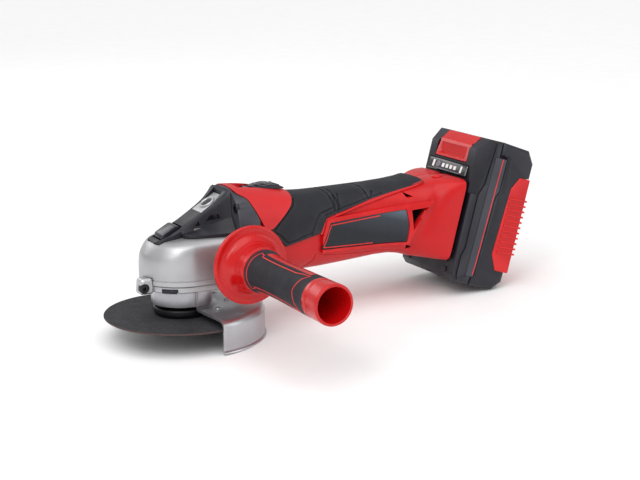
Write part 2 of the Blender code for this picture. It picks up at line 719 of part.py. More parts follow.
def motor_pieces():
    centre = (0.0, 0.0, MOTOR_Z)

    def part(name, profile, colour, segments=24):
        return solid(name, *turned(profile, segments, "X", centre), colour, smooth=30)

    shaft = [
        (0.0, 15.5), (2.1, 15.5), (2.1, 25.4), (4.0, 25.4), (4.0, 144.0), (0.0, 144.0),
    ]
    can = tube(20.0, 21.5, 64.0, 118.0)
    rotor = [part("motor_shaft", shaft, "steel", 16)]
    fixed = [
        part("motor_front_bearing", tube(4.3, 11.0, 38.4, 43.9), "steel"),
        part("motor_rear_bearing", tube(4.3, 8.0, 138.0, 143.5), "steel"),
        part("motor_can", can, "steel", 24),
    ]
    stack = part("armature", tube(4.3, 14.2, 70.0, 108.0), "copper", 20)
    for k in range(5):
        angle = math.radians(72 * k)
        slot = block((69.0, -1.6, 8.0), (109.0, 1.6, 16.0))
        turn = Matrix.Translation((0, 0, MOTOR_Z)) @ Matrix.Rotation(angle, 4, "X")
        points = [tuple(turn @ Vector(p)) for p in slot[0]]
        cut(stack, f"winding_slot_{k}", (points, slot[1]))
    rotor.append(stack)
    rotor.append(part("commutator", tube(4.3, 9.0, 112.0, 124.0), "copper", 20))
    rotor.append(cooling_fan())
    for name, middle in (("magnet_left", 0.0), ("magnet_right", 180.0)):
        arc = turned(tube(15.0, 19.6, 68.0, 110.0), 10, "X", centre, middle - 62.0, 124.0)
        fixed.append(solid(name, *arc, "magnet", smooth=30))
    holder = part("brush_holder", tube(13.0, 21.3, 119.0, 130.0), "charcoal", 20)
    for side, name in ((1.0, "left"), (-1.0, "right")):
        near, far = sorted((side * 8.0, side * 25.0))
        low, high = (112.0 + 8.5, near, MOTOR_Z - 3.1), (126.3, far, MOTOR_Z + 3.1)
        cut(holder, f"brush_guide_{name}", block(low, high))
        near, far = sorted((side * 9.3, side * 19.0))
        brush = block((120.8, near, MOTOR_Z - 2.8), (123.8, far, MOTOR_Z + 2.8))
        fixed.append(solid(f"carbon_brush_{name}", *brush, "magnet"))
    seat = turned(tube(8.3, 14.5, 131.0, 144.2), 24, "X", centre)
    fixed.append(holder)
    fixed.append(solid("rear_bearing_seat", *seat, "charcoal", smooth=30))
    return rotor, fixed


def cooling_fan():
    """Radial fan: a hub and back disc with flat blades."""
    centre = (0.0, 0.0, MOTOR_Z)
    profile = [(4.3, 52.0), (8.0, 52.0), (8.0, 60.4), (23.0, 60.4), (23.0, 61.6), (4.3, 61.6)]
    fan = solid("cooling_fan", *turned(profile, 20, "X", centre), "charcoal", smooth=30)
    blades = []
    for k in range(9):
        turn = Matrix.Translation((0, 0, MOTOR_Z)) @ Matrix.Rotation(math.radians(40 * k), 4, "X")
        points, faces = block((52.6, -0.6, 7.0), (60.9, 0.6, 22.6))
        offset = len(blades) * 8
        blades.append(([tuple(turn @ Vector(p)) for p in points], [[i + offset for i in f] for f in faces]))
    points = [p for ps, _ in blades for p in ps]
    faces = [f for _, fs in blades for f in fs]
    join(fan, "fan_blades", (points, faces))
    return fan


# ---------------------------------------------------------------- switch and electronics

def slide_switch():
    outline = side_view([
        (50.0, 88.0), (50.6, 91.0), (55.0, 90.2), (61.0, 91.6), (70.0, 93.0), (77.0, 92.0),
        (82.6, 89.2), (82.4, 88.0),
    ])
    cap = solid("slide_switch", *slab(outline, -8.5, 8.5, 1.2), "charcoal", smooth=30)
    join(cap, "switch_stem", block((62.5, -3.2, END + 78.3), (71.5, 3.2, END + 89.0)))
    return cap


def electronics():
    link = block((60.0, -3.2, END + 76.0), (144.0, 3.2, END + 78.0))
    module = block((146.0, -7.5, END + 59.0), (168.0, 7.5, END + 75.3))
    board = block((150.0, -15.0, END + 40.0), (186.0, 15.0, END + 41.6))
    switch = solid("switch_module", *module, "charcoal")
    join(switch, "switch_slider", block((149.0, -3.0, END + 75.0), (152.5, 3.0, END + 78.3)))
    rod_link = solid("switch_link", *link, "charcoal")
    join(rod_link, "link_hook", block((141.0, -5.4, END + 76.0), (144.0, 5.4, END + 78.0)))
    control = solid("control_board", *board, "board")
    join(control, "transistors", block((160.0, -12.0, END + 41.0), (166.0, 12.0, END + 47.0)))
    return rod_link, [switch, control]


# ---------------------------------------------------------------- battery mount and battery

def mount_rails(frame):
    """Rail plate and terminal block, in the battery's own leaning axes."""
    rail = solid("battery_rail", *block((195.0, -31.0, 79.0), (199.6, 31.0, 134.0)), "charcoal", frame)
    for side in (-1.0, 1.0):
        near, far = sorted((side * 24.0, side * 29.0))
        join(rail, f"rail_lip_{side:+.0f}", block((199.0, near, 82.0), (203.6, far, 132.0)), frame)
    cut(rail, "terminal_window", block((190.0, -19.3, 91.7), (205.0, 19.3, 124.3)), frame)
    terminals = solid("terminal_block", *block((188.0, -19.0, 92.0), (199.6, 19.0, 124.0)), "charcoal", frame)
    for k in (-1, 0, 1):
        blade = block((199.0, 11.0 * k - 0.6, 98.0), (203.6, 11.0 * k + 0.6, 118.0))
        join(terminals, f"blade_{k:+d}", blade, frame)
    return rail, terminals


def battery(frame):
    half = BATTERY_HALF
    front_view = [
        (199.3, 165.0), (199.3, 140.4), (BATTERY_FRONT, 140.4), (BATTERY_FRONT, 65.0),
        (209.0, 60.5), (BATTERY_SEAM - 0.2, 59.0), (BATTERY_SEAM - 0.2, 175.3), (210.5, 175.3),
    ]
    front = solid("battery_front_shell", *slab(front_view, -half, half, 2.6), "charcoal", frame)
    cut(front, "front_cells", block((208.0, -33.2, 66.0), (236.0, 33.2, 162.7)), frame)
    cut(front, "latch_pocket", block((190.0, -22.6, 153.0), (208.5, 22.6, 165.0)), frame)
    cut(front, "latch_throat", block((190.0, -22.6, 164.0), (216.8, 22.6, 180.0)), frame)
    cut(front, "gauge_pocket", block((190.0, -27.0, 141.4), (203.0, 27.0, 151.6)), frame)
    for side in (-1.0, 1.0):
        rings = []
        for u, near, far in ((137.0, 31.0, 38.2), (182.0, 22.0, 36.5)):
            facet = [(190.0, near), (199.3, near), (211.5, far), (211.5, 60.0), (190.0, 60.0)]
            rings.append([(n, side * y, u) for n, y in facet])
        cut(front, f"head_facet_{side:+.0f}", loft(rings), frame)
    rear_view = [
        (BATTERY_SEAM + 0.2, 175.3), (BATTERY_SEAM + 0.2, 59.0), (246.0, 58.7), (254.4, 66.0),
        (257.6, 150.0), (258.0, 163.0), (251.0, 171.0),
    ]
    rear = solid("battery_rear_shell", *slab(rear_view, -half, half, 2.6), "charcoal", frame)
    cut(rear, "rear_cells", block((226.0, -33.2, 66.0), (250.0, 33.2, 162.7)), frame)
    grip = block((253.6, -50.0, 73.7), (270.0, 50.0, 151.3))
    cut(rear, "pad_back", grip, frame)
    for side in (-1.0, 1.0):
        near, far = sorted((side * 36.6, side * 60.0))
        cut(rear, f"pad_cheek_{side:+.0f}", block((240.0, near, 73.7), (270.0, far, 151.3)), frame)
    pad = solid("battery_grip_pad", *block((253.9, -38.2, 74.0), (257.0, 38.2, 151.0)), "red", frame)
    for side in (-1.0, 1.0):
        near, far = sorted((side * 36.9, side * 38.4))
        join(pad, f"cheek_{side:+.0f}", block((240.3, near, 74.0), (256.0, far, 151.0)), frame)
    for k in range(12):
        u = 84.0 + 4.9 * k
        join(pad, f"rib_{k}", block((242.0, -38.9, u), (258.2, 38.9, u + 1.8)), frame)
    cut(pad, "pad_room", block((236.0, -36.9, 70.0), (253.9, 36.9, 155.0)), frame)
    latch_view = [
        (198.2, 153.6), (205.0, 153.6), (205.0, 165.6), (213.0, 165.6), (213.0, 175.0),
        (210.0, 175.0), (198.2, 164.4),
    ]
    latch = solid("battery_latch", *slab(latch_view, -22.0, 22.0, 0.8), "red", frame)
    cut(latch, "finger_pocket", block((190.0, -18.0, 156.0), (203.0, 18.0, 163.0)), frame)
    gauge_view = [(197.0, 142.4), (198.0, 141.7), (202.6, 141.7), (202.6, 151.2), (198.0, 151.2)]
    gauge = solid("charge_gauge", *slab(gauge_view, -26.6, 26.6, 1.0), "charcoal", frame)
    hole = turned(rod(3.1, 190.0, 201.0), 16, "X", (0.0, 12.0, 146.4))
    cut(gauge, "gauge_button_hole", hole, frame)
    button = turned(rod(2.7, 196.2, 200.0), 16, "X", (0.0, 12.0, 146.4))
    made = [front, rear, pad, gauge, cell_pack(frame)]
    made.append(solid("battery_board", *block((246.8, -26.0, 80.0), (248.4, 26.0, 138.0)), "board", frame))
    return made, latch, solid("gauge_button", *button, "white", frame, 30)


def cell_pack(frame):
    """Ten cells in two rows of five, joined by their connecting strips."""
    pack = solid("cell_pack", *block((212.0, 32.0, 70.0), (242.0, 32.8, 161.0)), "cell", frame)
    join(pack, "strip_far", block((212.0, -32.8, 70.0), (242.0, -32.0, 161.0)), frame)
    for row in range(2):
        for column in range(5):
            n = 217.6 + CELL_PITCH * row
            u = 77.0 + CELL_PITCH * column
            cell = turned(rod(CELL_R, -32.4, 32.4), 10, "Y", (n, 0.0, u))
            join(pack, f"cell_{row}_{column}", cell, frame)
    return pack


# ---------------------------------------------------------------- side handle

def side_handle():
    centre = (HANDLE_X, 0.0, HANDLE_Z)
    end = HANDLE_END
    core = [
        (4.4, BOSS_END + GAP), (10.0, BOSS_END + GAP), (11.0, 44.0), (13.0, 48.5),
        (26.0, 50.2), (DISH_R, 51.4), (DISH_R, 53.4), (27.0, 54.4), (16.0, 53.2), (14.6, 57.0),
        (13.9, 62.0), (10.4, 62.2), (10.4, 148.6), (14.1, 148.8), (14.1, 160.0),
        (14.4, end - 1.0), (13.9, end), (12.3, end), (11.4, 153.0), (8.8, 146.0), (8.4, 126.0),
        (0.0, 125.0),
        (0.0, 62.5), (4.4, 62.5),
    ]
    sleeve = [
        (10.7, 62.5), (13.7, 62.5), (13.2, 72.0), (13.4, 100.0), (13.9, 125.0), (14.1, 148.3),
        (10.7, 148.3),
    ]
    stud = [(0.0, 26.0), (3.6, 26.0), (4.0, 26.6), (4.0, 62.0), (0.0, 62.0)]
    return [
        solid("side_handle", *turned(core, 20, "Y", centre), "red", smooth=35),
        solid("side_handle_grip", *turned(sleeve, 20, "Y", centre), "rubber", smooth=35),
        solid("side_handle_stud", *turned(stud, 16, "Y", centre), "steel", smooth=35),
    ]


# ---------------------------------------------------------------- assembly

def main():
    for old in list(bpy.data.objects):
        bpy.data.objects.remove(old, do_unlink=True)
    gear_case()
    bearing_cap()
    spindle_bearings()
    head_cover()
    spindle_lock()
    motor_flange()
    turning = [spindle(), crown_gear(), inner_flange(), grinding_disc(), disc_nut()]
    ride(turning, empty("spindle_axis", (0.0, 0.0, 0.0)))
    ride([guard()], empty("guard_axis", (0.0, 0.0, END + 10.0)))
    guard_lever()
    rotor, _ = motor_pieces()
    rotor.append(pinion_gear())
    ride(rotor, empty("motor_axis", (0.0, 0.0, MOTOR_Z)))
    for k, (x, y) in enumerate(CAP_SCREWS):
        fastener(f"cap_screw_{k + 1}", 3.0, 1.9, 1.7, 10.0, "Z", (x, y, END + 22.3))
    for side, name in ((-1.0, "right"), (1.0, "left")):
        at = (33.2, side * FLANGE_SCREW[0], END + FLANGE_SCREW[1])
        fastener(f"flange_screw_{name}", 3.3, 2.1, 1.7, 10.0, "X", at)
    fastener("lug_screw", 3.3, 3.0, 1.2, 1.0, "Y", (-34.3, -12.4, END + 25.6), -1.0)
    frame = empty("battery_frame", (0.0, 0.0, END), (0.0, LEAN, 0.0))
    housing_half("housing_left", 1.0, frame)
    housing_half("housing_right", -1.0, frame)
    bonnet()
    grip_overmould()
    label_panel("label_panel_left", 1.0)
    label_panel("label_panel_right", -1.0)
    cap = slide_switch()
    link, _ = electronics()
    ride([cap, link], empty("switch_axis", (66.0, 0.0, END + 88.0)))
    mount_rails(frame)
    battery(frame)
    ride(side_handle(), empty("handle_axis", (HANDLE_X, -BOSS_END, HANDLE_Z)))


main()
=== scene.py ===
"""Looks of the cordless angle grinder: fine shells, grips, trim and materials on the CAD frame.

Lengths are in millimetres in the part's frame: +Z up along the spindle, +X back to the
battery, -Y towards the side handle. END is the disc's height above the spindle's end face.
"""

from math import acos, copysign, cos, degrees, exp, hypot, pi, radians, sin, tan

import bmesh
import bpy
from mathutils import Matrix, Vector


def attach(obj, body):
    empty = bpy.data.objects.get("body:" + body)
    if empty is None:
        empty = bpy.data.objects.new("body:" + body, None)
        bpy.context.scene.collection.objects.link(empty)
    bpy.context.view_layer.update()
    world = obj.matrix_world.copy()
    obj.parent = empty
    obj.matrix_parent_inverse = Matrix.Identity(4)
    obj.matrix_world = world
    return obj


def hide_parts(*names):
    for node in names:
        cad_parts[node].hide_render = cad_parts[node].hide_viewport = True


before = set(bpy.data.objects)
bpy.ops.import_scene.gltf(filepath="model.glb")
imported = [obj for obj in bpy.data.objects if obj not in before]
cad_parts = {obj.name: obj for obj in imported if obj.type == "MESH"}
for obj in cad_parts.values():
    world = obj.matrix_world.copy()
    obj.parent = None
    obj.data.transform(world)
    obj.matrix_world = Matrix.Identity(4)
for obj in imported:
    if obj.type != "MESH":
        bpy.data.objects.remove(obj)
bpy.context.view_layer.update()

MM = 0.001
GAP = 0.3
END = 8
CAMERA_PLACE = (-0.4283, -0.9826, 0.3149)
CAMERA_TURN = 29.02
CAMERA_DIP = 13.27
CAMERA_LENS = 84.3

DISC_R = 57.5
DISC_T = 1.2
GUARD_R = 61.3
GUARD_TOP = END + 7.75
GUARD_LOW = END - 16.5
GUARD_T = 1.5
GUARD_HALF_ANGLE = 85
NECK_R = 20
BAND_R = 22.5
SPINDLE_R = 7
MOTOR_Z = END + 52.5
CASE_BACK = 44
HUMP_TOP = END + 65.5
BOSS_PLACE = (22, 0, END + 81)
BOSS_SLOPE = 31
BOSS_SPAN = (13.2, 31)
BOSS_HALF = 7.7
LOCK_X = -10.5
LOCK_PLACE = (-9.5, 0, END + 61.4)
LOCK_SLOPE = 29
LOCK_FLOOR = END + 53
HANDLE_CENTRE = (31.2, 0, END + 44.1)
BOSS_END = 38.3
HANDLE_END = 173.8
DISH_R = 28.9
GRIP_START = 73.5
GRIP_END = 153.5
GRIP_ANGLE = 162
FLANGE_SCREW = (23.4, 79.6)
CAP_SCREWS = [(-23, 13), (24.5, 22), (24.5, -22)]
LEAN = 15
BATTERY_FRONT = 204.5
HEAD_FRONT = 203.3
GAUGE_FACE = 201.2
GAUGE_LOW = 142.6
GAUGE_HIGH = 151
BATTERY_HALF = 38
SKIN = 2
WALL = 3
NOSE_ARC = 56
SECTION_ARC = 36
SQUARENESS = 2.6

BATTERY_FRAME = Matrix.Translation((0, 0, END)) @ Matrix.Rotation(radians(LEAN), 4, "Y")


def tilted(place, slope):
    return Matrix.Translation(place) @ Matrix.Rotation(radians(-slope), 4, "Y")


# ---------------------------------------------------------------- camera, light and floor

def added(name, data):
    """A new object, linked into the scene."""
    made = bpy.data.objects.new(name, data)
    bpy.context.scene.collection.objects.link(made)
    return made


def aim(obj, forward):
    obj.rotation_mode = "QUATERNION"
    obj.rotation_quaternion = Vector(forward).to_track_quat("-Z", "Y")


def set_camera():
    data = bpy.data.cameras.new("camera")
    data.lens = CAMERA_LENS
    data.sensor_width = 36
    camera = added("camera", data)
    camera.location = CAMERA_PLACE
    turn, dip = radians(CAMERA_TURN), radians(CAMERA_DIP)
    forward = (sin(turn) * cos(dip), cos(turn) * cos(dip), -sin(dip))
    aim(camera, forward)
    bpy.context.scene.camera = camera


def soft_light(name, place, target, size, power):
    data = bpy.data.lights.new(name, "AREA")
    data.shape = "RECTANGLE"
    data.size, data.size_y = size
    data.energy = power
    light = added(name, data)
    light.location = place
    aim(light, Vector(target) - Vector(place))


def set_lights():
    world = bpy.data.worlds.new("studio")
    world.use_nodes = True
    background = world.node_tree.nodes["Background"]
    background.inputs["Color"].default_value = (1, 1, 1, 1)
    background.inputs["Strength"].default_value = 0.56
    bpy.context.scene.world = world
    data = bpy.data.lights.new("sky", "SUN")
    data.energy = 1.55
    data.angle = radians(70)
    aim(added("sky", data), (0.25, 0.35, -1))
    middle = (0.1, 0, 0.06)
    soft_light("key", (-0.75, -0.75, 0.75), middle, (0.4, 0.9), 4.5)
    soft_light("side", (1.1, -0.9, 0.5), middle, (0.3, 0.8), 2)
    soft_light("back", (-0.4, 1.2, 0.7), middle, (1, 0.4), 2.5)


# ---------------------------------------------------------------- materials

LOOKS = {}
CHARCOAL = (0.0066, 0.0068, 0.0128)


def put(tree, kind, sockets=(), **settings):
    """Adds a node; a socket's value is a number, a colour, or another node's output."""
    made = tree.nodes.new("ShaderNode" + kind)
    for key, value in settings.items():
        setattr(made, key, value)
    for key, value in dict(sockets).items():
        if isinstance(value, bpy.types.NodeSocket):
            tree.links.new(value, made.inputs[key])
        else:
            made.inputs[key].default_value = value
    return made


def ramp(tree, factor, stops):
    made = put(tree, "ValToRGB", {"Fac": factor})
    elements = made.color_ramp.elements
    while len(elements) < len(stops):
        elements.new(0.5)
    for element, (place, colour) in zip(elements, stops):
        element.position = place
        element.color = (*colour, 1)
    return made.outputs["Color"]


def grey(value):
    return (value, value, value)


def scaled(colour, by):
    return tuple(min(1, c * by) for c in colour)


def surface(name, colour, rough, grain=1500, depth=0.04, spread=0.12, metallic=0,
            stretch=None, wear=1.35, speck=None, paint=None, gleam=0.5):
    """Adds a look with mottled colour and roughness, a fine grain and worn edges.

    rough is the lowest and highest roughness, stretch scales the grain along each axis,
    speck is a second colour scattered as specks, and paint(tree, coords) gives a base colour.
    """
    LOOKS[name] = bpy.data.materials.new(name)
    LOOKS[name].use_nodes = True
    tree = LOOKS[name].node_tree
    shader = tree.nodes["Principled BSDF"]
    coords = put(tree, "TexCoord").outputs["Object"]
    mapped = coords
    if stretch:
        mapped = put(tree, "Mapping", {"Vector": coords, "Scale": stretch}).outputs["Vector"]
    broad = put(tree, "TexNoise", {"Vector": coords, "Scale": 38, "Detail": 5})
    fine = put(tree, "TexNoise", {"Vector": mapped, "Scale": grain, "Detail": 3})
    if paint:
        base = paint(tree, coords)
    else:
        low, high = scaled(colour, 1 - spread), scaled(colour, 1 + spread)
        base = ramp(tree, broad.outputs["Fac"], [(0.35, low), (0.65, high)])
    if speck:
        cells = put(tree, "TexVoronoi", {"Vector": coords, "Scale": grain * 0.7})
        dots = ramp(tree, cells.outputs["Distance"], [(0.2, grey(1)), (0.36, grey(0))])
        mixed = put(tree, "Mix", {"Factor": dots, "A": base, "B": (*speck, 1)},
                    data_type="RGBA")
        base = mixed.outputs["Result"]
    edge = put(tree, "NewGeometry").outputs["Pointiness"]
    worn = ramp(tree, edge, [(0.515, grey(0)), (0.6, grey(1))])
    broken = put(tree, "Math", {0: worn, 1: broad.outputs["Fac"]}, operation="MULTIPLY")
    bright = scaled(tuple(c + 0.015 for c in colour), wear)
    shown = put(tree, "Mix", {"Factor": broken.outputs[0], "A": base, "B": (*bright, 1)},
                data_type="RGBA")
    tree.links.new(shown.outputs["Result"], shader.inputs["Base Color"])
    smudge = put(tree, "TexNoise", {"Vector": coords, "Scale": 90, "Detail": 6})
    levels = put(tree, "MapRange", {"Value": smudge.outputs["Fac"], "From Min": 0.3,
                                    "From Max": 0.7, "To Min": rough[0], "To Max": rough[1]})
    tree.links.new(levels.outputs["Result"], shader.inputs["Roughness"])
    bump = put(tree, "Bump", {"Height": fine.outputs["Fac"], "Strength": 0.6,
                              "Distance": depth * MM})
    tree.links.new(bump.outputs["Normal"], shader.inputs["Normal"])
    shader.inputs["Metallic"].default_value = metallic
    shader.inputs["Specular IOR Level"].default_value = gleam


def disc_paint(tree, coords):
    """Dark bonded grit, with the brown resin showing at the rim."""
    flat = put(tree, "VectorMath", {0: coords, 1: (1, 1, 0)}, operation="MULTIPLY")
    radius = put(tree, "VectorMath", {0: flat.outputs[0]}, operation="LENGTH")
    share = put(tree, "MapRange", {"Value": radius.outputs["Value"], "From Min": 0.0555,
                                   "From Max": 0.0575})
    return ramp(tree, share.outputs["Result"],
                [(0, (0.0085, 0.0085, 0.011)), (0.75, (0.011, 0.01, 0.012)), (1, (0.1, 0.042, 0.035))])


def label_paint(tree, coords):
    """Slate blue at the upper back corner, falling to near black at the lower front."""
    parts = put(tree, "SeparateXYZ", {"Vector": coords})
    along = put(tree, "Math", {0: parts.outputs["X"], 1: 0.25}, operation="MULTIPLY")
    height = put(tree, "Math", {0: parts.outputs["Z"], 1: along.outputs[0]}, operation="ADD")
    share = put(tree, "MapRange", {"Value": height.outputs[0], "From Min": 0.076,
                                   "From Max": 0.116})
    return ramp(tree, share.outputs["Result"],
                [(0, (0.005, 0.009, 0.013)), (0.45, (0.009, 0.01, 0.016)),
                 (0.8, (0.034, 0.04, 0.052)), (1, (0.11, 0.15, 0.19))])


def make_looks():
    surface("red", (0.53, 0.004, 0.006), (0.3, 0.42), 1700, 0.05, 0.06, gleam=0.35)
    surface("red_gloss", (0.5, 0.003, 0.004), (0.2, 0.3), 1200, 0.012, 0.05, gleam=0.45)
    surface("red_matte", (0.56, 0.01, 0.013), (0.38, 0.5), 1900, 0.07, 0.06, gleam=0.45)
    surface("charcoal", CHARCOAL, (0.36, 0.5), 1600, 0.07, 0.16, wear=2.2, gleam=0.42)
    surface("charcoal_gloss", (0.009, 0.009, 0.017), (0.16, 0.26), 1200, 0.012, 0.1, wear=1.8,
            gleam=0.45)
    surface("slate", (0.03, 0.031, 0.04), (0.36, 0.5), 1500, 0.08, 0.14, wear=1.9, gleam=0.45)
    surface("rubber", (0.0078, 0.0082, 0.0135), (0.55, 0.7), 2100, 0.1, 0.16, wear=2, gleam=0.4)
    surface("label", CHARCOAL, (0.34, 0.46), 2400, 0.02, speck=(0.02, 0.023, 0.03),
            paint=label_paint, gleam=0.35)
    surface("band", (0.011, 0.012, 0.022), (0.28, 0.4), 1500, 0.03, 0.16, wear=1.8)
    surface("line", (0.62, 0.02, 0.018), (0.35, 0.5), 900, 0.01, 0.06, gleam=0.3)
    surface("silver", (0.44, 0.44, 0.455), (0.36, 0.46), 2300, 0.05, 0.06, 0.75, wear=1.25)
    surface("guard_steel", (0.46, 0.46, 0.485), (0.3, 0.38), 900, 0.006, 0.04, 0.95, wear=1.5)
    surface("steel", (0.5, 0.5, 0.52), (0.22, 0.34), 800, 0.012, 0.08, 1, (1, 1, 8))
    surface("dark_steel", (0.035, 0.035, 0.04), (0.28, 0.42), 900, 0.02, 0.2, 0.9)
    surface("abrasive", (0.012, 0.012, 0.014), (0.7, 0.9), 640, 0.45, speck=(0.05, 0.048, 0.048),
            paint=disc_paint, wear=2.2, gleam=0.35)
    surface("copper", (0.72, 0.3, 0.13), (0.25, 0.4), 500, 0.08, 0.12, 1, (0.3, 6, 6))
    surface("magnet", (0.09, 0.09, 0.1), (0.5, 0.7), 900, 0.06, 0.15, 0.2)
    surface("board", (0.015, 0.13, 0.05), (0.35, 0.5), 1100, 0.03, 0.2, speck=(0.4, 0.35, 0.15))
    surface("cell", (0.08, 0.2, 0.46), (0.3, 0.42), 500, 0.02, 0.08)
    surface("white", (0.74, 0.74, 0.76), (0.3, 0.42), 900, 0.01, 0.05)
    surface("grey", (0.2, 0.2, 0.23), (0.3, 0.42), 900, 0.01, 0.08)
    surface("smoke", (0.006, 0.006, 0.009), (0.14, 0.22), 700, 0.006, 0.1, gleam=0.7)
    surface("floor", (0.96, 0.96, 0.96), (0.6, 0.7), 60, 0.02, 0.01, wear=1)


# ---------------------------------------------------------------- mesh tools

CUTTERS = {}


def mesh_of(points, faces, place=None):
    """A mesh in metres from points in millimetres, with its faces turned outwards."""
    moved = [place @ Vector(p) if place else Vector(p) for p in points]
    mesh = bpy.data.meshes.new("mesh")
    mesh.from_pydata([tuple(p * MM) for p in moved], [], faces)
    work = bmesh.new()
    work.from_mesh(mesh)
    bmesh.ops.remove_doubles(work, verts=work.verts, dist=1e-7)
    bmesh.ops.delete(work, geom=[e for e in work.edges if not e.link_faces], context="EDGES")
    bmesh.ops.triangulate(work, faces=[f for f in work.faces if len(f.verts) > 4])
    bmesh.ops.recalc_face_normals(work, faces=work.faces)
    work.to_mesh(mesh)
    work.free()
    return mesh


def piece(name, shape, look, body, stands_for=(), place=None, edge=0, steps=2, angle=32):
    """A visible piece on its body. edge is the width of the rounding on its sharp edges."""
    made = added(name, mesh_of(*shape, place))
    made.data.materials.append(LOOKS[look])
    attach(made, body)
    if stands_for:
        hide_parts(*stands_for)
    if edge:
        round_edges(made, edge, steps, angle)
    CUTTERS[made.name] = []
    return made


def refined(node, shape, look, body, **more):
    """The finer piece that stands for one CAD node."""
    return piece(f"{node}_fine", shape, look, body, [node], **more)


def round_edges(obj, width, steps=2, angle=32):
    bevel = obj.modifiers.new("edges", "BEVEL")
    bevel.width = width * MM
    bevel.segments = steps
    bevel.limit_method = "ANGLE"
    bevel.angle_limit = radians(angle)


def carve(obj, shape, place=None, operation="DIFFERENCE"):
    cutter = added("cutter", mesh_of(*shape, place))
    step = obj.modifiers.new("carve", "BOOLEAN")
    step.object = cutter
    step.operation = operation
    step.solver = "MANIFOLD"
    CUTTERS[obj.name].append(cutter)


def unite(obj, shape, place=None):
    carve(obj, shape, place, "UNION")


def keep(obj, shape):
    carve(obj, shape, operation="INTERSECT")


def settle(obj, smooth=35):
    """Applies every modifier, removes the cutters and shades the piece."""
    graph = bpy.context.evaluated_depsgraph_get()
    mesh = bpy.data.meshes.new_from_object(obj.evaluated_get(graph), depsgraph=graph)
    obj.modifiers.clear()
    obj.data = mesh
    for cutter in CUTTERS.pop(obj.name):
        bpy.data.objects.remove(cutter)
    work = bmesh.new()
    work.from_mesh(mesh)
    bmesh.ops.remove_doubles(work, verts=work.verts, dist=1e-6)
    bmesh.ops.dissolve_degenerate(work, edges=work.edges, dist=1e-6)
    work.to_mesh(mesh)
    work.free()
    mesh.shade_smooth()
    mesh.set_sharp_from_angle(angle=radians(smooth))


def taken(obj):
    """Settles a helper piece, removes it and gives its points and faces."""
    settle(obj)
    points = [tuple(v.co / MM) for v in obj.data.vertices]
    faces = [tuple(p.vertices) for p in obj.data.polygons]
    bpy.data.objects.remove(obj)
    return points, faces


def loft(rings, closed=False):
    """Points and faces of a skin over rings of equal length; closed joins last to first."""
    count = len(rings[0])
    points = [point for ring in rings for point in ring]
    faces = []
    spans = len(rings) if closed else len(rings) - 1
    for row in range(spans):
        here = row * count
        there = ((row + 1) % len(rings)) * count
        for k in range(count):
            after = (k + 1) % count
            faces.append((here + k, here + after, there + after, there + k))
    if not closed:
        faces.append(tuple(range(count)))
        last = (len(rings) - 1) * count
        faces.append(tuple(last + k for k in reversed(range(count))))
    return points, faces


AXES = {
    "Z": lambda a, b, c: (a, b, c),
    "X": lambda a, b, c: (c, a, b),
    "Y": lambda a, b, c: (a, -c, b),
}


def turned(profile, segments, axis="Z", centre=(0, 0, 0), start=0, sweep=360):
    """Turns a closed (radius, distance) profile about +Z, +X or -Y through centre."""
    full = sweep >= 360
    rings = []
    for k in range(segments if full else segments + 1):
        angle = radians(start + sweep * k / segments)
        ring = []
        for radius, distance in profile:
            x, y, z = AXES[axis](radius * cos(angle), radius * sin(angle), distance)
            ring.append((x + centre[0], y + centre[1], z + centre[2]))
        rings.append(ring)
    return loft(rings, closed=full)


def tube(inner, outer, low, high):
    return [(inner, low), (outer, low), (outer, high), (inner, high)]


def rod(radius, low, high):
    return [(0, low), (radius, low), (radius, high), (0, high)]


def block(low, high):
    (x0, y0, z0), (x1, y1, z1) = low, high
    bottom = [(x0, y0, z0), (x1, y0, z0), (x1, y1, z0), (x0, y1, z0)]
    return loft([bottom, [(x, y, z1) for x, y, _ in bottom]])


def rounded(outline, radius, steps=3):
    """The closed outline with its corners rounded, apart from those on a turning axis."""
    made = []
    for k, (x, y) in enumerate(outline):
        before, after = outline[k - 1], outline[(k + 1) % len(outline)]
        if abs(x) < 1e-6:
            made.append((x, y))
            continue
        ends = []
        for px, py in (before, after):
            length = hypot(px - x, py - y)
            share = min(radius, 0.45 * length) / length
            ends.append((x + (px - x) * share, y + (py - y) * share))
        for step in range(steps + 1):
            t = step / steps
            weights = ((1 - t) ** 2, 2 * t * (1 - t), t * t)
            corners = (ends[0], (x, y), ends[1])
            made.append(tuple(sum(w * c[i] for w, c in zip(weights, corners)) for i in (0, 1)))
    return made


def inset(outline, distance):
    """The anticlockwise outline moved inwards by distance, corner by corner."""
    moved = []
    for k, (x, y) in enumerate(outline):
        x0, y0 = outline[k - 1]
        x1, y1 = outline[(k + 1) % len(outline)]
        before, after = hypot(x - x0, y - y0), hypot(x1 - x, y1 - y)
        ax, ay = -(y - y0) / before, (x - x0) / before
        bx, by = -(y1 - y) / after, (x1 - x) / after
        scale = distance / (1 + ax * bx + ay * by)
        moved.append((x + (ax + bx) * scale, y + (ay + by) * scale))
    return moved


def slab(outline, low, high, chamfer=0, radius=0, steps=3):
    """An (x, z) outline extruded along Y, its corners rounded and its side edges chamfered."""
    full = rounded(outline, radius, steps) if radius else outline
    layers = [(low, full), (high, full)]
    if chamfer:
        small = inset(outline, chamfer)
        if radius:
            small = rounded(small, max(radius - chamfer, 0.15), steps)
        layers = [(low, small), (low + chamfer, full), (high - chamfer, full), (high, small)]
    return loft([[(x, y, z) for x, z in ring] for y, ring in layers])


def side_view(outline):
    """(x, z) points with z counted from the disc, ordered anticlockwise."""
    return [(x, END + z) for x, z in reversed(outline)]


